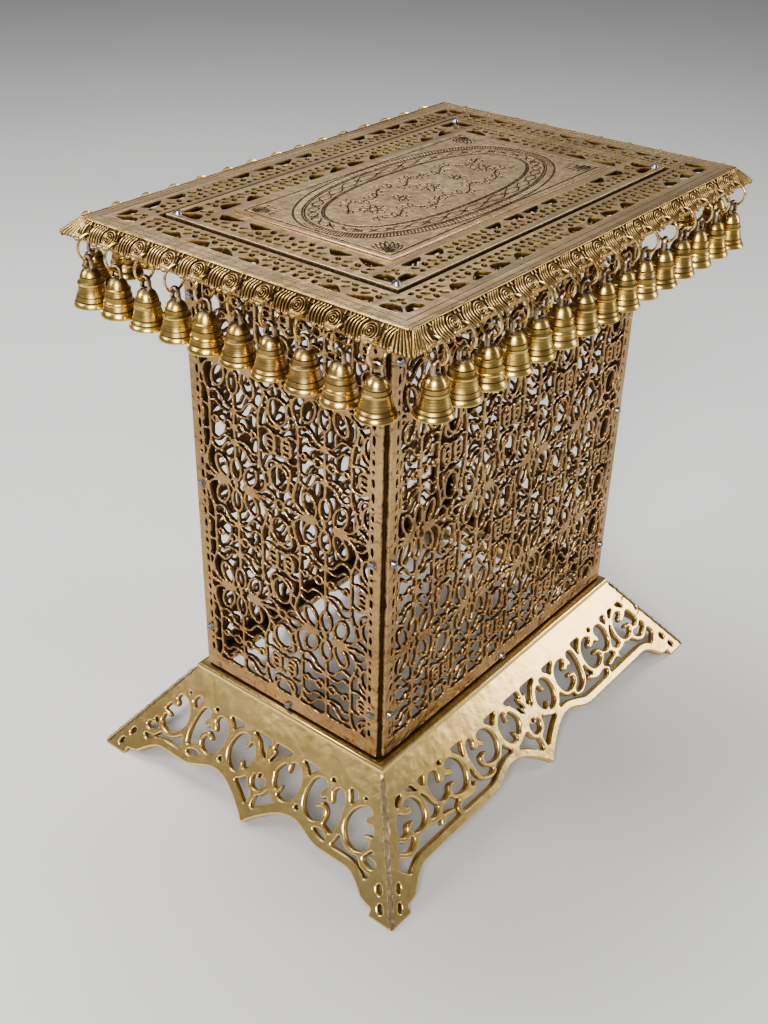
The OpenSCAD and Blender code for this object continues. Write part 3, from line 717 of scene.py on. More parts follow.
def panel_field(width, tall, base_z, pitch, first):
    """The metal of one panel: plain strips, a dashed line beside each upright strip, filigree between."""
    half = width / 2
    low, high = (-half + PANEL_STRIP, PANEL_FOOT), (half - PANEL_STRIP, tall - PANEL_HEAD)
    strands = []
    pattern, knots = cell_strands(pitch, CELL_RISE), cell_knots(pitch, CELL_RISE)
    for k in range(-1, int(width / pitch) + 3):
        for row in range(-1, 5):
            c = np.array([first + pitch * k, FLOWER_Z - base_z + CELL_RISE * row])
            if (np.abs(c) > [half + pitch, tall + CELL_RISE]).any():
                continue
            strands += [(path + c, wide * STRAND, closed) for path, wide, closed in pattern]
            strands += [(np.array([p + c, p + c + [0.01, 0]]), 2 * r, False) for p, r in knots]
    outside = [[(-half, 0), (half, 0), (half, low[1]), (-half, low[1])],
               [(-half, high[1]), (half, high[1]), (half, tall), (-half, tall)],
               [(-half, 0), (low[0] + 4.6, 0), (low[0] + 4.6, tall), (-half, tall)],
               [(high[0] - 4.6, 0), (half, 0), (half, tall), (high[0] - 4.6, tall)]]
    cuts = []
    for s in (-1, 1):
        z, k = PANEL_FOOT + 3.0, 0
        while z < tall - PANEL_HEAD - 6:
            long = (8.0, 3.6, 6.0, 3.2, 9.0)[k % 5]
            cuts.append(oval((s * (half - PANEL_STRIP - 1.4), z + long / 2), 1.15, long / 2, 0, 8))
            z += long + 2.6
            k += 1
    whole = [(-half, 0), (half, 0), (half, tall), (-half, tall)]
    return cast_field((-half - 1.05, -1.05), (half + 1.05, tall + 1.05), 0.7, strands, outside, cuts, 0.5, whole)


def panel(side, node, field):
    """One pierced panel."""
    low, high = box_mm(node)
    across = 1 if side in ("left", "right") else 0
    out = max(abs(low[1 - across]), abs(high[1 - across]))
    shape = Shape()
    place = Place((0, -out, low[2]), (1, 0, 0), (0, 0, 1), SIDES[side])
    cast(shape, place, field, PANEL_THICK)
    return shape.build(f"filigree_{side}", [FILIGREE], [node])


def panels():
    for pair, pitch, first in ((("front", "back"), 72.0, -194.0), (("left", "right"), 84.6, -130.9)):
        low, high = box_mm(f"{pair[0]}_panel")
        width = (high - low)[0 if pair[0] == "front" else 1]
        field = panel_field(width, high[2] - low[2], low[2], pitch, first)
        for side in pair:
            panel(side, f"{side}_panel", field)


# ---- top -------------------------------------------------------------------------------------------

LEAF_UNIT = 66.0
LEAF_ROWS = [
    # centre along the unit and across the band (shares), half length and half width in mm, tilt
    (0.71, 0.20, 3.3, 1.9, 62), (0.825, 0.19, 3.3, 1.9, -58), (0.935, 0.20, 3.1, 1.8, 66),
    (0.06, 0.56, 3.0, 1.9, 48), (0.205, 0.55, 3.2, 1.9, -42), (0.32, 0.53, 3.1, 1.9, 46), (0.43, 0.54, 2.9, 1.8, -46),
    (0.62, 0.55, 3.1, 1.9, 44), (0.735, 0.56, 3.2, 1.9, -42), (0.845, 0.55, 3.0, 1.8, 46), (0.945, 0.54, 2.7, 1.7, -56),
    (0.06, 0.85, 2.8, 1.7, -15), (0.17, 0.85, 2.8, 1.6, 18), (0.28, 0.84, 2.7, 1.7, -18), (0.39, 0.84, 2.7, 1.7, 15),
    (0.50, 0.83, 2.9, 1.8, -20), (0.61, 0.85, 2.7, 1.6, 14), (0.72, 0.86, 2.7, 1.6, -12), (0.83, 0.85, 2.7, 1.6, 18),
    (0.94, 0.85, 2.7, 1.6, -15),
]
LEAF_TRIANGLES = [
    # base from and to along the unit, tip along it, tip across the band (shares)
    (0.03, 0.31, 0.11, 0.46), (0.385, 0.635, 0.52, 0.44),
]


def leaf_row(length, low, high):
    """Pierced leaves along a band: broad triangles on the line y = low, small ovals beyond them."""
    n = max(1, round(length / LEAF_UNIT))
    p, d = length / n, high - low
    holes = []
    for i in range(n):
        start = -length / 2 + i * p
        flip = (i + n) % 2 == 1
        along = lambda share: start + p * (1 - share if flip else share)
        for a, b, tip, rise in LEAF_TRIANGLES:
            a, b, tip = along(a), along(b), along(tip)
            body = [(a, low + 0.05 * d), ((a + b) / 2, low + 0.02 * d), (b, low + 0.05 * d),
                    ((b + tip) / 2 + (b - a) * 0.06, low + rise * d * 0.62), (tip, low + rise * d),
                    ((a + tip) / 2 - (b - a) * 0.04, low + rise * d * 0.62)]
            holes.append(smooth(body, 4, True))
        for k, (x, y, rx, ry, turn) in enumerate(LEAF_ROWS):
            grow = 1 + 0.05 * math.sin(5.1 * k + 3.3 * i + length)
            lean = turn * (-1 if flip else 1) * (1 if d > 0 else -1)
            holes.append(oval((along(x), low + y * d), rx * grow, ry * grow, lean, 14))
    return holes


def leaf_frame(w, d, w_in, d_in, flip):
    """Bands of pierced leaves on all four sides between two rectangles."""
    out = []
    long = leaf_row(w_in - 8, *((-d_in / 2, -d / 2) if flip else (-d / 2, -d_in / 2)))
    short = leaf_row(d_in - 8, *((-w_in / 2, -w / 2) if flip else (-w / 2, -w_in / 2)))
    for rows, turns in ((long, (0, 180)), (short, (90, 270))):
        for turn in turns:
            for hole in rows:
                p = np.column_stack([hole, np.zeros(len(hole))])
                out.append(spin(p, turn)[:, :2])
    # corners
    reach_x, reach_y = (w - w_in) / 2, (d - d_in) / 2
    for sx in (1, -1):
        for sy in (1, -1):
            at = lambda u, v: (sx * (w_in / 2 + u * reach_x), sy * (d_in / 2 + v * reach_y))
            wedge = [at(0.98, 0.0), at(0.98, 0.5), at(0.9, 0.82), at(0.56, 0.5), at(0.6, 0.1)]
            out.append(smooth(wedge if sx * sy > 0 else wedge[::-1], 3, True))
            wedge = [at(0.0, 0.98), at(0.5, 0.98), at(0.78, 0.92), at(0.46, 0.62), at(0.08, 0.66)]
            out.append(smooth(wedge if sx * sy < 0 else wedge[::-1], 3, True))
            for u, v, rx, ry in ((0.16, 0.2, 2.0, 2.4), (0.3, 0.42, 2.2, 1.5), (0.38, 0.08, 1.8, 2.2)):
                out.append(oval(at(u, v), rx, ry, 45 * sx * sy, 10))
    return out


def rim():
    """The rim plate: a plain band with two engraved lines, then the pierced band up to the slot."""
    shape = Shape()
    thick = 3.0
    z = TOP_Z
    band_w, band_d = TOP_W - 26, TOP_D - 26
    lines = []
    for at in (3.0, 8.4):
        # a V groove: out is measured inwards from the plate's edge
        lines += [(-at + 0.45, z, 0.0), (-at + 0.40, z - 0.12, 0.9), (-at, z - 0.6, 1.0), (-at - 0.40, z - 0.12, 0.9),
                  (-at - 0.45, z, 0.0)]
    # darkening: the grooves, the undersides and the outer edge, painted shade with patina
    profile = [(-0.1, z - thick), (-0.1, z - 0.5), (-0.4, z)]
    patina = [1.0, 0.3, 0.0]
    for out, height, dark in lines:
        profile.append((out, height))
        patina.append(dark)
    profile += [(-13.0, z), (-13.0, z - thick)]
    patina += [0.0, 1.0]
    frame_sweep(shape, TOP_W / 2, TOP_D / 2, profile, patina=np.array(patina))
    holes = [rectangle(OPENING_W, OPENING_D)]
    holes += leaf_frame(TOP_W - 27, TOP_D - 27, OPENING_W + 5, OPENING_D + 5, False)
    plate(shape, FLAT, rectangle(band_w, band_d), holes, z - thick, z, 0.2, wall_slot=1)
    border(shape)
    shape.build("pierced_rim", [TOP, HOLE_WALL_SHADE, BORDER], ["top_rim"])


def bell_places(side):
    """Where the bells of a side hang, along it."""
    out = []
    for name, p in HINGES.items():
        if name.startswith(f"bell_{side}_"):
            out.append(spin(p, -SIDES[side])[0])
    return sorted(out)


RIB_PITCH = 2.35
CORNER_FLUTES = 5
RING_SLIT = 1.5
LOOSE_SIDES = ("back", "right")


def ribs(shape, place, start, stop, bow):
    """Curved ribs like folded feathers, from start towards stop."""
    step = RIB_PITCH if stop > start else -RIB_PITCH
    x = start
    while (stop - x) * step > 0:
        path = smooth([(x + bow * 1.3, 13.2), (x - bow * 0.8, 9.6), (x - bow * 0.8, 5.2), (x + bow * 0.7, 1.0)], 4)
        strand(shape, place, path, 1.3, 1.35, slot=2)
        x += step


def rosette(shape, place, x, size=1.0):
    """A flower of nested oval rings."""
    for radius, high in ((5.1, 1.25), (3.45, 1.6), (1.95, 1.85)):
        strand(shape, place, oval((x, 7.0), radius * size, radius * 1.05 * size, 12, 22), 1.1, high, True, slot=2)
    boss(shape, place, (x, 7.0), 1.1, 2.2, slot=2, steps=10)


def border_side(shape, side):
    """The cast border of one side: sloping band, feather ribs, rosettes, scallops and ring bars."""
    wide_side = side in ("front", "back")
    long, deep = (TOP_W, TOP_D) if wide_side else (TOP_D, TOP_W)
    run = 11.0
    slant = run * math.sqrt(2)
    slope = math.sqrt(0.5)
    place = Place((0, -deep / 2 - run, TOP_Z - run), (1, 0, 0), (0, slope, slope), SIDES[side])
    places = bell_places(side)
    half = long / 2
    limit = lambda v: half + (slant - v) * slope
    upper = 13.9 if side in LOOSE_SIDES else 11.5
    # the sloping bands are painted dark behind the ornament (dark=1.0): painted shade with patina
    # the band, in bays between the slits that the rings swing in
    edges = [-limit(0)] + [q for x in places for q in (x - RING_SLIT, x + RING_SLIT)] + [limit(0)]
    for a, b in zip(edges[0::2], edges[1::2]):
        top_a = -limit(upper) if a == edges[0] else a
        top_b = limit(upper) if b == edges[-1] else b
        plate(shape, place, [(a, 0.6), (b, 0.6), (top_b, upper), (top_a, upper)], [], -2.6, 0.0, 0.3, slot=2, dark=1.0)
    rest = upper - 0.2
    plate(shape, place, [(-limit(rest), rest), (limit(rest), rest), (limit(slant), slant), (-limit(slant), slant)], [],
          -2.6, 0.0, 0.2, slot=2, dark=1.0)
    strand(shape, place, [(-limit(slant - 0.8), slant - 0.8), (limit(slant - 0.8), slant - 0.8)], 1.7, 0.9, slot=2,
           ends=False)
    first, last = -half + 2.5, half - 2.5
    bays = [(first, places[0])] + list(zip(places[:-1], places[1:])) + [(places[-1], last)]
    for a, b in bays:
        inner, outer = a + RING_SLIT + 1.65, b - RING_SLIT - 1.6
        if b - a < 14:
            ribs(shape, place, inner, outer, 1.0)
        else:
            x = b - 7.6
            rosette(shape, place, x)
            ribs(shape, place, x - 6.6, inner, 1.2)
            if x + 6.4 < outer:
                ribs(shape, place, x + 6.3, outer, -1.0)
        for dx in (-1.75, 1.75):
            if b < last:
                strand(shape, place, [(b + dx, 13.7), (b + dx * 1.1, upper + 0.4)], 1.3, 1.2, slot=2)
        # scallops along the lower edge
        lobes = max(1, int((b - a) / 5.2))
        for i in range(lobes):
            cx = a + (i + 0.5) * (b - a) / lobes
            if min(abs(cx - q) for q in places) > RING_SLIT + 2.0:
                boss(shape, place, (cx, 1.0), 2.3, 1.5, -1.0, slot=2, steps=10)
    for x in places:
        bar(shape, x, deep / 2 + BAR_OUT, SIDES[side])
    # upright flutes fanned round the corners
    for s in (1, -1):
        for k in range(CORNER_FLUTES):
            top, low = limit(slant) - 0.9 - 1.5 * k, limit(0.8) - 1.4 - 3.0 * k
            strand(shape, place, [(s * top, 13.6), (s * (top + low) / 2, 7.3), (s * low, 0.9)], [1.0, 1.7, 2.3],
                   [1.2, 1.7, 1.9], slot=2)


def bar(shape, x, out, turn):
    """A short cast bar with a knob at each end."""
    rings = [(-11.6, 0.6), (-11.2, 1.7), (-10.4, 2.3), (-9.4, 2.35), (-8.6, 2.05), (-7.6, 1.85), (-4.5, 1.8),
             (-1.8, 1.95), (0.0, 2.05), (1.8, 2.0), (2.6, 2.25), (3.2, 2.3), (3.8, 1.7), (4.1, 0.6)]
    lathe(shape, lambda p: spin(np.column_stack([x + p[:, 2], -out + p[:, 0], BAR_Z + p[:, 1]]), turn),
          [(radius, along, 0.1) for along, radius in rings], 14, 2, ends=True)


def border(shape):
    for side in SIDES:
        border_side(shape, side)


def cover():
    """The cover plate with its own pierced band."""
    shape = Shape()
    centre = (COVER_LOW + COVER_HIGH) / 2
    size = COVER_HIGH - COVER_LOW
    raised = RAISED_HIGH - RAISED_LOW
    place = Place((centre[0], centre[1], 0), (1, 0, 0), (0, 1, 0))
    holes = leaf_frame(size[0] - 9, size[1] - 9, raised[0] + 14, raised[1] + 14, True)
    corners = rectangle(size[0] - 11, size[1] - 11)
    clear = [h for h in holes if min(np.linalg.norm(np.mean(h, 0) - np.array(c)) for c in corners) > 5.5]
    plate(shape, place, rectangle(size[0], size[1]), clear, TOP_Z - 3, TOP_Z, 0.25, wall_slot=1)
    shape.build("pierced_cover", [TOP, HOLE_WALL_SHADE], ["top_cover"])


# ---- engraved plate ----------------------------------------------------------------------------------

GRID = 0.42
BOLD = 1.65


def engraving(width, depth):
    """Every engraved line on the raised plate, as (path, line width), about its middle."""
    lines = []
    hw, hd = width / 2, depth / 2
    add = lambda path, wide=0.7: lines.append((np.asarray(path, float), wide * BOLD))

    def closed(path, wide=0.7):
        add(np.vstack([path, path[:1]]), wide)

    def wreath(inset, power=2.35, steps=160):
        a = np.linspace(0, 2 * math.pi, steps, endpoint=False)
        rx, ry = hw - 7 - inset, hd - 6 - inset
        c, s = np.cos(a), np.sin(a)
        return np.column_stack([np.sign(c) * rx * np.abs(c) ** (2 / power), np.sign(s) * ry * np.abs(s) ** (2 / power)])

    closed(np.array(rectangle(width - 9, depth - 9)), 0.8)
    for inset in (0, 6.0, 7.6, 19.5, 21.0):
        closed(wreath(inset), 0.7 if inset else 0.8)
    # radial ticks between the first two ovals
    outer, inner = wreath(0.8, steps=210), wreath(5.4, steps=210)
    for a, b in zip(outer, inner):
        add([a, b], 0.5)
    # twisted scroll with rosettes between the inner ovals
    middle, wave = wreath(13.5, steps=480), []
    normal = wreath(10.5, steps=480) - wreath(16.5, steps=480)
    normal /= np.linalg.norm(normal, axis=1, keepdims=True)
    t = np.linspace(0, 2 * math.pi * 18, 480, endpoint=False)
    for phase in (0, math.pi):
        closed(middle + normal * (3.6 * np.sin(t + phase))[:, None], 0.6)
    for k in range(36):
        i = int(k * 480 / 36)
        p = middle[i]
        if k % 2:
            closed(oval(p, 1.3, 1.3, 0, 10), 0.5)
        else:
            closed(oval(p, 2.4, 2.4, 0, 14), 0.5)
            closed(oval(p, 1.0, 1.0, 0, 8), 0.5)
    # leaf fans in the corners
    for sx in (1, -1):
        for sy in (1, -1):
            root = np.array([sx * (hw - 6.5), sy * (hd - 6.5)])
            for k in range(7):
                a = math.radians(12 + k * 11)
                d = np.array([-sx * math.cos(a), -sy * math.sin(a)])
                q = np.array([-d[1], d[0]])
                long = 23 - 1.6 * abs(k - 3)
                for bend in (1, -1):
                    add(smooth([root + d * 3, root + d * long * 0.6 + q * 1.9 * bend, root + d * long], 5), 0.55)
    # flowers and vines inside the innermost oval
    rx, ry = hw - 7 - 25, hd - 6 - 25
    for k, x in enumerate(np.linspace(-rx * 0.66, rx * 0.66, 5)):
        big = 9.2 if k % 2 == 0 else 6.4
        closed(oval((x, 0), big * 0.32, big * 0.32, 0, 10), 0.5)
        for j in range(8):
            a = math.radians(j * 45 + 22.5 * (k % 2))
            c = np.array([x + big * 0.72 * math.cos(a), big * 0.72 * math.sin(a)])
            closed(oval(c, big * 0.34, big * 0.2, math.degrees(a), 9), 0.5)
    for s in (1, -1):
        xs = np.linspace(-rx * 0.86, rx * 0.86, 160)
        span = np.sqrt(np.clip(1 - (xs / (rx * 1.02)) ** 2, 0.02, 1)) * ry
        vine = np.column_stack([xs, s * (span * 0.58 + 4.4 * np.sin(xs * 0.17))])
        add(vine, 0.6)
        for i in range(6, 154, 11):
            p = vine[i]
            flip = 1 if (i // 11) % 2 else -1
            for reach, turn in ((8.2, 50), (6.6, 118)):
                d = np.array([math.cos(math.radians(turn * flip)), math.sin(math.radians(turn * flip))])
                q = np.array([-d[1], d[0]])
                closed(smooth([p, p + d * reach * 0.5 + q * 1.8, p + d * reach, p + d * reach * 0.5 - q * 1.8], 4, True), 0.5)
            c = vine[min(i + 5, 159)] + np.array([0, -flip * 3.6])
            add(spiral(c, 3.0, 90 * flip, 1.2 * flip, 0.2, 14), 0.5)
    return lines


def groove_field(lines, width, depth):
    """Depth of the engraving on a fine grid, from 0 on the face to 1 in a line's middle."""
    nx, ny = int(width / GRID) + 1, int(depth / GRID) + 1
    xs, ys = np.linspace(-width / 2, width / 2, nx), np.linspace(-depth / 2, depth / 2, ny)
    field = np.zeros((ny, nx))
    for path, wide in lines:
        for a, b in zip(path[:-1], path[1:]):
            reach = wide * 1.4
            low, high = np.minimum(a, b) - reach, np.maximum(a, b) + reach
            i0, i1 = np.searchsorted(xs, low[0]), np.searchsorted(xs, high[0])
            j0, j1 = np.searchsorted(ys, low[1]), np.searchsorted(ys, high[1])
            if i1 <= i0 or j1 <= j0:
                continue
            gx, gy = np.meshgrid(xs[i0:i1], ys[j0:j1])
            d = b - a
            long = max(float(d @ d), 1e-9)
            t = np.clip(((gx - a[0]) * d[0] + (gy - a[1]) * d[1]) / long, 0, 1)
            away = np.hypot(gx - a[0] - t * d[0], gy - a[1] - t * d[1])
            cut = np.clip(1 - (away / (wide * 0.62)) ** 2, 0, 1)
            field[j0:j1, i0:i1] = np.maximum(field[j0:j1, i0:i1], cut)
    return xs, ys, field


RAISED_STEP = 1.2


def raised_plate():
    """The raised centre plate, its engraving cut as real grooves."""
    shape = Shape()
    centre = (RAISED_LOW + RAISED_HIGH) / 2
    low, high = RAISED_LOW[2], RAISED_LOW[2] + RAISED_STEP
    bevel = 0.7
    width, depth = (RAISED_HIGH - RAISED_LOW)[:2] - 2 * bevel
    xs, ys, field = groove_field(engraving(width, depth), width, depth)
    ny, nx = field.shape
    gx, gy = np.meshgrid(xs + centre[0], ys + centre[1])
    points = np.column_stack([gx.ravel(), gy.ravel(), (high - 0.32 * field).ravel()])
    i, j = np.meshgrid(np.arange(nx - 1), np.arange(ny - 1))
    a = (j * nx + i).ravel()
    faces = np.column_stack([a, a + 1, a + nx + 1, a + nx])
    # the engraved lines are painted darker with their depth: patina in the lines with painted shade
    shape.add(points, faces.tolist(), field.ravel())
    w, d = (RAISED_HIGH - RAISED_LOW)[:2] / 2
    # the step's side darkens towards its foot and under it: painted shade with patina
    profile = [(-bevel, high), (-bevel * 0.3, high - 0.2), (0.0, high - 0.6), (0.0, low), (-bevel - 0.5, low),
               (-bevel - 0.5, high - 0.8)]
    frame_sweep(shape, w, d, profile[::-1], centre[:2], patina=np.array([0, 0, 0, 0.5, 0.5, 0])[::-1])
    shape.build("engraved_centre", [ENGRAVED], ["engraved_plate"], sharp=60)


# ---- base ------------------------------------------------------------------------------------------

BASE_RUN = 62.0
BASE_T = 5.0
BAND_V = 75.0
HEFT = 1.35


def edge_v(u, half):
    """Height of the scalloped lower edge of a base side, at a distance u from its middle."""
    u = abs(u)
    peak, dip, arch, foot = 42.0, 74.0, half - 58, half - 31
    if u < peak:
        return 8 + 23 * math.sin(math.pi / 2 * u / peak)
    if u < dip:
        return 26.5 + 4.5 * math.cos(math.pi * (u - peak) / (dip - peak))
    if u < arch:
        return 22.0
    return 6 + 16 * math.cos(math.pi / 2 * min(1, (u - arch) / (foot - arch)))


def base_field(length, scrolls):
    """The metal of one sloping side of the base."""
    half = length / 2
    slant = math.hypot(BASE_RUN, BASE_H)
    limit = lambda v: half - BASE_RUN * v / slant
    foot = half - 31
    strands = []
    keep = lambda points, wide, closed=False, taper=None: strands.append(
        (smooth(points, 5, closed), HEFT * (np.linspace(wide, taper, (len(points) - 1) * 5 + 1) if taper else wide), closed))
    for s in (1, -1):
        for points, wide, taper, closed in scrolls + CENTRE:
            keep([(s * u, v) for u, v in points], wide, closed, taper)
        us = np.arange(0, foot + 0.1, 3.0)
        strands.append((np.array([(s * u, edge_v(u, half) + STRAP / 2) for u in us]), STRAP, False))
        vs = np.array([MITRE * 0.8, BAND_V + 6])
        strands.append((np.array([(s * (limit(v) - MITRE / 2), v) for v in vs]), MITRE, False))
    for points, wide, taper, closed in SPINE:
        keep(points, wide, closed, taper)
    top = slant - 5
    areas = [[(-limit(BAND_V), BAND_V), (limit(BAND_V), BAND_V), (limit(top), top), (-limit(top), top)]]
    cuts = []
    for s in (1, -1):
        areas.append([(s * (half - 40), 21), (s * (foot - 1), 8), (s * (foot + 1.5), 6.5), (s * (foot + 7), 6.5),
                      (s * (foot + 7), 0.3), (s * limit(0.3), 0.3), (s * limit(30), 30), (s * (limit(30) - 11), 30)])
        for at, v, rx, ry in ((16.5, 9.5, 1.9, 4.4), (23.5, 21.5, 2.2, 4.4)):
            cuts.append(oval((s * (half - at), v), rx, ry, s * 36, 12))
    return cast_field((-half - 2, -2), (half + 2, top + 2), 0.9, strands, areas, cuts, 0.8)


def base():
    """The splayed base: four pierced sides, a rolled shoulder, and soldered seams on the corners."""
    shape = Shape()
    width, deep = SKIRT_HIGH[0] - SKIRT_LOW[0], SKIRT_HIGH[1] - SKIRT_LOW[1]
    slope = np.array([BASE_RUN, BASE_H]) / math.hypot(BASE_RUN, BASE_H)
    fields = {True: base_field(width, LONG_SCROLLS), False: base_field(deep, SHORT_SCROLLS)}
    for side, turn in SIDES.items():
        wide_side = side in ("front", "back")
        other = deep if wide_side else width
        place = Place((0, -other / 2, 0), (1, 0, 0), (0, slope[0], slope[1]), turn)
        cast(shape, place, fields[wide_side], BASE_T, BASE_EDGE)
    # rolled shoulder, carried round all four sides
    w, d = width / 2 - BASE_RUN, deep / 2 - BASE_RUN
    roll = [(-8, BASE_H - 3), (-8, BASE_H), (-1.5, BASE_H)]
    roll += [(-1.5 + 5.6 * math.sin(a), BASE_H - 5.6 + 5.6 * math.cos(a)) for a in np.radians(np.linspace(12, 118, 9))]
    roll += [(0.5, BASE_H - 9.5)]
    frame_sweep(shape, w, d, roll)
    # lumps of solder along the corner edges
    corner_low, corner_high = np.array([width / 2, deep / 2, 0]), np.array([w, d, BASE_H])
    for c, (sx, sy) in enumerate(((-1, -1), (1, -1), (1, 1), (-1, 1))):
        t = 0.04
        k = 0
        while t < 0.9:
            p = (corner_low + (corner_high - corner_low) * t) * [sx, sy, 1]
            lump = Place(p, (sx * 0.7, -sy * 0.7, 0), (-sx * slope[0] * 0.7, -sy * slope[0] * 0.7, slope[1]))
            size = 1.5 + 0.9 * math.sin(2.1 * k + c) ** 2
            boss(shape, lump, (0, 0), size, 0.9 + 0.4 * math.sin(3.3 * k), -0.5, slot=1, squash=1.7, steps=9)
            t += 0.022 + 0.013 * math.sin(1.7 * k + 2 * c) ** 2
            k += 1
    shape.build("cast_base", [BASE, SOLDER], ["base_skirt"])


STRAP, MITRE = 8.0, 12.0
# its third column darkens the walls towards the back: painted shade with patina
BASE_EDGE = [(1.0, 1.5, 0.0), (0.95, 0.75, 0.0), (0.82, 0.22, 0.1), (0.6, 0.0, 0.4), (0.0, 0.0, 1.0)]

# members of the openwork: points (distance from the side's middle, height up the slope), width, end width, closed
SPINE = [
    ([(0, 76), (0, 66), (0, 55)], 3.4, 2.2, False),
    ([(0, 33), (0, 22), (0, 10)], 3.4, 5.0, False),
]
CENTRE = [
    ([(0, 61), (3.5, 66), (4.5, 70)], 2.6, 1.2, False),
    ([(0, 56), (4, 58.5), (7, 62)], 3.0, 1.4, False),
    ([(0.5, 56), (6.5, 50), (9, 42), (6, 35), (0, 32)], 3.6, None, False),
    ([(1.5, 50), (3.5, 46.5), (1.5, 43.5)], 2.6, 1.4, False),
    ([(7.5, 47), (11, 51), (8, 56)], 3.2, 3.0, False),
]
SHORT_SCROLLS = [
    # closed ring, its two barbs, and its tie to the band
    ([(8, 54), (13, 65), (23, 71.5), (34, 69), (40, 57), (38, 44), (29.5, 36.5), (19.5, 37.5), (12.5, 44.5)], 4.4, None, True),
    ([(14.5, 68.5), (20.5, 66.5), (22.5, 60)], 3.6, 1.8, False),
    ([(13.5, 42), (19, 43), (21.5, 48.5)], 3.6, 1.8, False),
    # scroll opening outwards
    ([(58, 59), (62, 66), (57.5, 72), (50, 72.5), (43.5, 67), (41.5, 56), (43.5, 44.5), (50, 38), (58, 36.5), (65, 40.5),
      (66.5, 48), (61.5, 53), (57, 50)], 4.2, 2.6, False),
    # tall crook beside it, and the leaf under both
    ([(66, 59), (63, 66), (67.5, 72.5), (75.5, 72), (80, 64.5), (82, 50), (80.5, 38), (77, 29)], 4.2, None, False),
    ([(60, 37), (69, 37.5), (77.5, 33), (77, 27), (71.5, 28)], 3.8, 2.2, False),
    # large outer scroll with two leaf tips, tied to the band and the mitre
    ([(103, 60.5), (110, 64), (108.5, 69), (101, 71.5), (91.5, 69.5), (84, 60.5), (83, 48), (90, 38), (99.5, 34.5),
      (108.5, 37.5), (112.5, 45), (109.5, 50), (104, 49)], 4.6, 2.4, False),
    ([(87, 76), (90, 71)], 4.0, None, False),
    ([(110, 66), (115, 64), (119, 60)], 3.6, 4.2, False),
    ([(112, 46), (118, 43), (120, 38.5), (115.5, 38)], 3.4, 2.2, False),
    ([(106, 36), (112, 30), (121, 29), (127, 36)], 3.6, None, False),
    ([(120, 20), (126, 26), (131, 33)], 4.0, None, False),
]
LONG_SCROLLS = [
    ([(11, 56), (17, 67), (28, 72.5), (38.5, 67), (41, 54), (35, 43), (24.5, 40.5), (15.5, 46)], 4.4, None, True),
    ([(17.5, 69), (24.5, 67), (26.5, 60)], 3.6, 1.8, False),
    ([(15, 43.5), (22, 45), (25.5, 50)], 3.6, 1.8, False),
    ([(62, 62), (67, 67), (63.5, 72.5), (54.5, 73), (46, 67), (43.5, 55.5), (49, 44.5), (58.5, 42), (67.5, 46), (69, 52.5),
      (63, 54)], 4.2, 2.6, False),
    ([(69, 63), (67, 69), (71, 74), (79, 72), (82, 62), (81, 50), (78, 41), (70, 36), (62, 37), (60, 42)], 4.0, 2.6, False),
    ([(104, 62), (110, 65.5), (107, 71), (98, 73), (89, 66), (87, 54), (93, 43), (103.5, 41), (112, 46), (111, 53),
      (105, 53)], 4.4, 2.4, False),
    ([(115, 62), (112.5, 69), (118, 74), (127, 72.5), (132, 63), (130, 52), (122, 46.5), (114, 49)], 4.2, 2.6, False),
    ([(86, 40), (95, 36.5), (106, 38), (113, 34), (109, 30)], 3.6, 2.0, False),
    ([(132, 60), (136, 66), (141, 75)], 4.2, None, False),
    ([(156, 61), (162, 63.5), (160, 69), (152, 71.5), (143.5, 66), (140.5, 55), (145, 45), (154.5, 41.5), (163.5, 45),
      (164, 51.5), (158, 52)], 4.6, 2.4, False),
    ([(126, 47), (134, 41), (143, 42)], 4.0, None, False),
    ([(118, 36), (128, 38), (134, 34)], 3.4, 2.0, False),
    ([(162, 66), (168, 66), (174, 70)], 3.6, 4.0, False),
    ([(164, 47), (172, 45.5), (178, 50)], 3.6, 3.6, False),
    ([(160, 41), (166, 36), (174, 34), (184, 40)], 3.6, None, False),
    ([(181, 18), (188, 26), (196, 33)], 4.0, None, False),
]

# ---- carried-over nodes --------------------------------------------------------------------------------

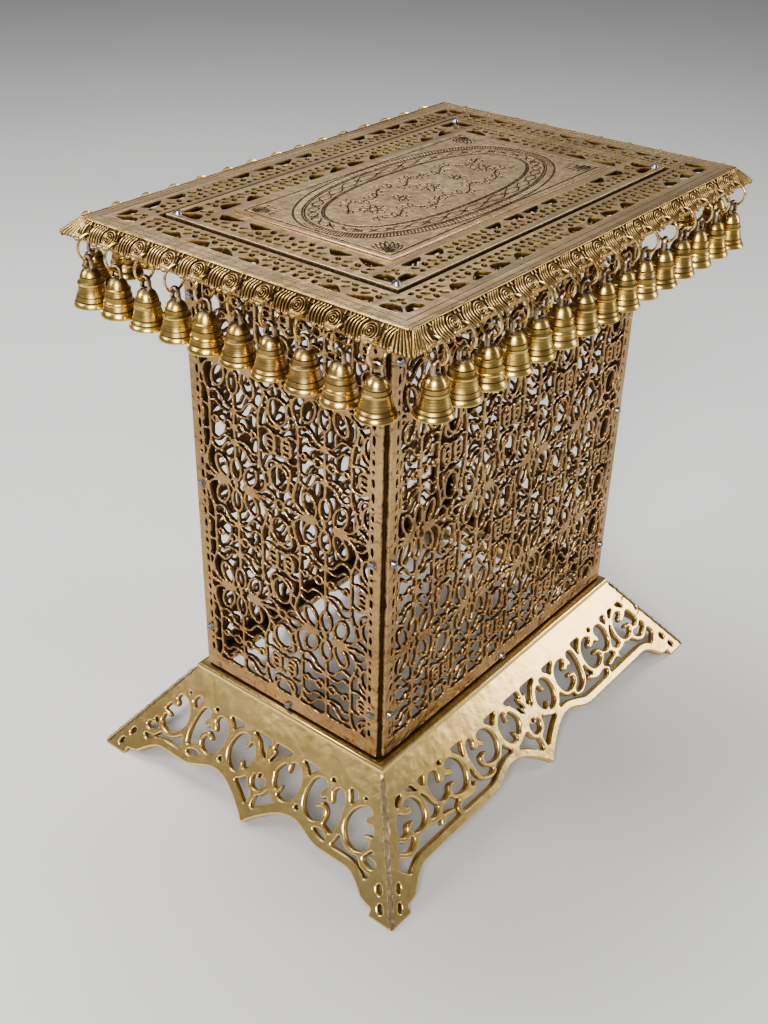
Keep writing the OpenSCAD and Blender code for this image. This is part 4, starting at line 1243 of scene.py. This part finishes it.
# outer profiles up from the lip: (share of the mouth's radius, share of the height, 1 in a groove)
BELL_KINDS = {
    "plain": [(1.0, 0.0, 0), (1.0, 0.035, 0), (0.94, 0.1, 0), (0.9, 0.14, 0), (0.875, 0.15, 1), (0.875, 0.168, 1),
              (0.89, 0.178, 0), (0.82, 0.28, 0), (0.795, 0.287, 1), (0.795, 0.3, 1), (0.81, 0.308, 0), (0.73, 0.42, 0),
              (0.7, 0.5, 0), (0.665, 0.575, 0.6), (0.72, 0.6, 0), (0.725, 0.64, 0), (0.66, 0.672, 0), (0.6, 0.69, 0.7),
              (0.565, 0.8, 0), (0.54, 0.806, 1), (0.54, 0.824, 1), (0.55, 0.83, 0), (0.46, 0.94, 0), (0.34, 1.0, 0.5)],
    "waisted": [(1.0, 0.0, 0), (1.0, 0.04, 0), (0.95, 0.1, 0), (0.87, 0.19, 0), (0.845, 0.197, 1), (0.845, 0.213, 1),
                (0.86, 0.222, 0), (0.79, 0.325, 0.3), (0.82, 0.35, 0), (0.8, 0.41, 0), (0.73, 0.44, 0.5),
                (0.71, 0.556, 0), (0.685, 0.563, 1), (0.685, 0.578, 1), (0.695, 0.586, 0), (0.64, 0.675, 0.4),
                (0.68, 0.7, 0), (0.655, 0.75, 0), (0.57, 0.77, 0.5), (0.48, 0.92, 0), (0.36, 1.0, 0.5)],
    "domed": [(1.0, 0.0, 0), (1.0, 0.03, 0), (0.94, 0.08, 0), (0.88, 0.13, 0), (0.855, 0.136, 1), (0.855, 0.15, 1),
              (0.87, 0.157, 0), (0.8, 0.238, 0), (0.775, 0.245, 1), (0.775, 0.26, 1), (0.79, 0.267, 0), (0.71, 0.42, 0),
              (0.65, 0.535, 0.4), (0.69, 0.56, 0), (0.68, 0.61, 0), (0.62, 0.63, 0.5), (0.6, 0.728, 0),
              (0.58, 0.735, 1), (0.58, 0.75, 1), (0.59, 0.757, 0), (0.53, 0.86, 0), (0.44, 0.95, 0), (0.33, 1.0, 0.5)],
}
# inside of the bell: (share of the mouth's radius, share of the height, darkening); the darkening is painted shade with
# patina
BELL_INSIDE = [(0.9, 0.005, 0.4), (0.8, 0.12, 0.6), (0.68, 0.3, 0.8), (0.56, 0.52, 1.0), (0.44, 0.74, 1.0), (0.25, 0.86, 1.0),
               (0.02, 0.88, 1.0)]
ORDER = ["plain", "domed", "plain", "waisted", "domed", "plain", "waisted"]
SIDE_SHIFT = {"front": 0, "back": 3, "left": 1, "right": 5}
MOUTH_R, BELL_H = 13.0, 24.6
RING_R, WIRE_R = 8.3, 0.95
RING_DROP = 5.2
GROOVE_PATINA_AND_SHADE = 0.55
BACK_RING_R, BACK_RING_DROP = 10.0, 3.1


def hung_bell(name, looks):
    """One bell with its eye, its clapper and the ring it hangs on."""
    _, side, number = name.split("_")
    i = int(number) + SIDE_SHIFT[side]
    hinge = spin(HINGES[name], -SIDES[side])
    lip = box_mm(name)[0][2]
    own = math.radians(14 * math.sin(math.radians(137 * i)))
    share = 1 - 0.012 * (1 + math.sin(2.7 * i))
    shape = Shape()

    def place(points, turn=own):
        c, sn = math.cos(turn), math.sin(turn)
        q = np.column_stack([c * points[:, 0] - sn * points[:, 1] + hinge[0],
                             sn * points[:, 0] + c * points[:, 1] + hinge[1], points[:, 2] + lip])
        return spin(q, SIDES[side])

    kind = np.array(BELL_KINDS[ORDER[i % len(ORDER)]])
    # grooves and the faces beside them darkened: painted shade with patina
    groove_patina_and_shade = np.maximum(kind[:, 2], GROOVE_PATINA_AND_SHADE * np.maximum(np.roll(kind[:, 2], 1), np.roll(kind[:, 2], -1)))
    profile = [(r * MOUTH_R * share, h * BELL_H, d) for (r, h, _), d in zip(kind, groove_patina_and_shade)]
    inside = [(r * MOUTH_R * share, h * BELL_H, d) for r, h, d in BELL_INSIDE]
    lathe(shape, place, inside[::-1] + profile, 44)
    neck = profile[-1]
    # the crown darkens up under the eye: painted shade with patina
    lathe(shape, place, [neck, (neck[0] * 0.9, BELL_H + 0.5, 0.7), (2.4, BELL_H + 1.3, 1.0), (0.05, BELL_H + 1.6, 1.0)], 20, 1)
    # eye: an upright link cast on the crown
    hole = BELL_H + 5.4
    loop = [(3.3 * math.cos(t), 0, hole + 3.5 * math.sin(t)) for t in np.radians(np.linspace(-20, 200, 12))]
    loop += [(-3.7, 0, BELL_H + 2.2), (-3.2, 0, BELL_H + 0.6), (3.2, 0, BELL_H + 0.6), (3.7, 0, BELL_H + 2.2)]
    tube(shape, place, loop, (0, 1, 0), 1.25, 1.75, slot=1, steps=8, patina=0.5)
    # ring, its cut turned to one side
    radius, drop = (BACK_RING_R, BACK_RING_DROP) if side in LOOSE_SIDES else (RING_R, RING_DROP)
    middle = hinge[2] - lip - drop
    cut = 60 + 50 * math.sin(1.9 * i)
    sweep = np.radians(np.linspace(cut + 4, cut + 356, 34))
    ring = [(0, radius * math.cos(t), middle + radius * math.sin(t)) for t in sweep]
    tube(shape, lambda q: place(q, 0.0), ring, (1, 0, 0), WIRE_R, closed=False, slot=2, steps=8)
    # clapper, its rod darkening up into the bell: painted shade with patina
    lathe(shape, place, [(0.1, 0.6, 0.5), (1.6, 1.0, 0.4), (2.6, 2.4, 0.3), (2.6, 3.8, 0.3), (1.6, 5.4, 0.5), (0.8, 6.2, 0.8),
                         (0.8, 20.5, 1.0)], 12, 1)
    shape.build(f"hung_{name}", looks, [name], name, 42)


def bells():
    looks = [turned_brass("turned_bell_brass"),
             brass("bell_eye_brass", (0.62, 0.49, 0.33, 1), (0.36, 0.24, 0.14, 1), (0.05, 0.03, 0.018, 1), rough=(0.25, 0.42),
                   spots=0.6, hidden=0.003, bump=0.5),
             brass("ring_wire_brass", (0.84, 0.64, 0.30, 1), (0.70, 0.48, 0.18, 1), PATINA_AND_SHADE, rough=(0.2, 0.32), spots=0.2)]
    for name in frame["nodes"]:
        if name.startswith("bell_"):
            hung_bell(name, looks)


def paint(node, material):
    """Puts one material on a CAD node."""
    node.data.materials.clear()
    node.data.materials.append(material)


# ---- stage -----------------------------------------------------------------------------------------------

def camera():
    """At the photograph's viewing angle."""
    azimuth, elevation, roll = (math.radians(a) for a in (-51.756, 32.026, 1.382))
    away, right_by, up_by = 1.0198, -0.0283, -0.0340
    back = Vector((math.sin(azimuth) * math.cos(elevation), -math.cos(azimuth) * math.cos(elevation), math.sin(elevation)))
    right = Vector((0, 0, 1)).cross(back).normalized()
    up = back.cross(right)
    right, up = right * math.cos(roll) + up * math.sin(roll), up * math.cos(roll) - right * math.sin(roll)
    data = bpy.data.cameras.new("camera")
    data.lens = 44.68
    data.clip_start = 0.01
    made = bpy.data.objects.new("camera", data)
    place = Vector((0, 0, TOP_Z * MM / 2)) + back * away + right * right_by + up * up_by
    made.matrix_world = Matrix.Translation(place) @ Matrix((right, up, back)).transposed().to_4x4()
    bpy.context.scene.collection.objects.link(made)
    bpy.context.scene.camera = made


def light(name, place, size, power, aim=(0, 0, 0.25), colour=(1, 1, 1)):
    data = bpy.data.lights.new(name, "AREA")
    data.shape = "RECTANGLE"
    data.size, data.size_y = size
    data.energy = power
    data.color = colour
    made = bpy.data.objects.new(name, data)
    made.location = place
    made.rotation_euler = (Vector(aim) - Vector(place)).to_track_quat("-Z", "Y").to_euler()
    bpy.context.scene.collection.objects.link(made)


def stage():
    mesh = bpy.data.meshes.new("floor")
    reach = 6.0
    mesh.from_pydata([(-reach, -reach, 0), (reach, -reach, 0), (reach, reach, 0), (-reach, reach, 0)], [], [(0, 1, 2, 3)])
    floor = bpy.data.objects.new("floor", mesh)
    bpy.context.scene.collection.objects.link(floor)
    n = Nodes("pale_floor")
    n.to("Base Color", n.mix(n.noise(3.0), (0.70, 0.69, 0.67, 1), (0.74, 0.73, 0.71, 1)))
    n.to("Roughness", 0.75)
    mesh.materials.append(n.material)
    world = bpy.data.worlds.new("studio")
    world.use_nodes = True
    background = world.node_tree.nodes["Background"]
    background.inputs[0].default_value = (0.72, 0.74, 0.78, 1)
    background.inputs[1].default_value = 0.26
    bpy.context.scene.world = world
    bpy.context.scene.view_settings.look = "AgX - Medium High Contrast"
    light("key", (-1.9, -1.1, 1.6), (0.9, 0.9), 52)
    light("front_fill", (1.7, -1.5, 0.9), (0.7, 1.3), 14)
    light("top_soft", (0.3, 0.7, 2.1), (1.4, 1.0), 32)
    light("left_card", (-1.7, 1.4, 1.7), (1.0, 1.0), 24)


camera()
panels()
rim()
cover()
raised_plate()
base()
bells()
paint(frame["nodes"]["inner_frame"], INSIDE)
paint(frame["nodes"]["screws"], SCREW)
stage()
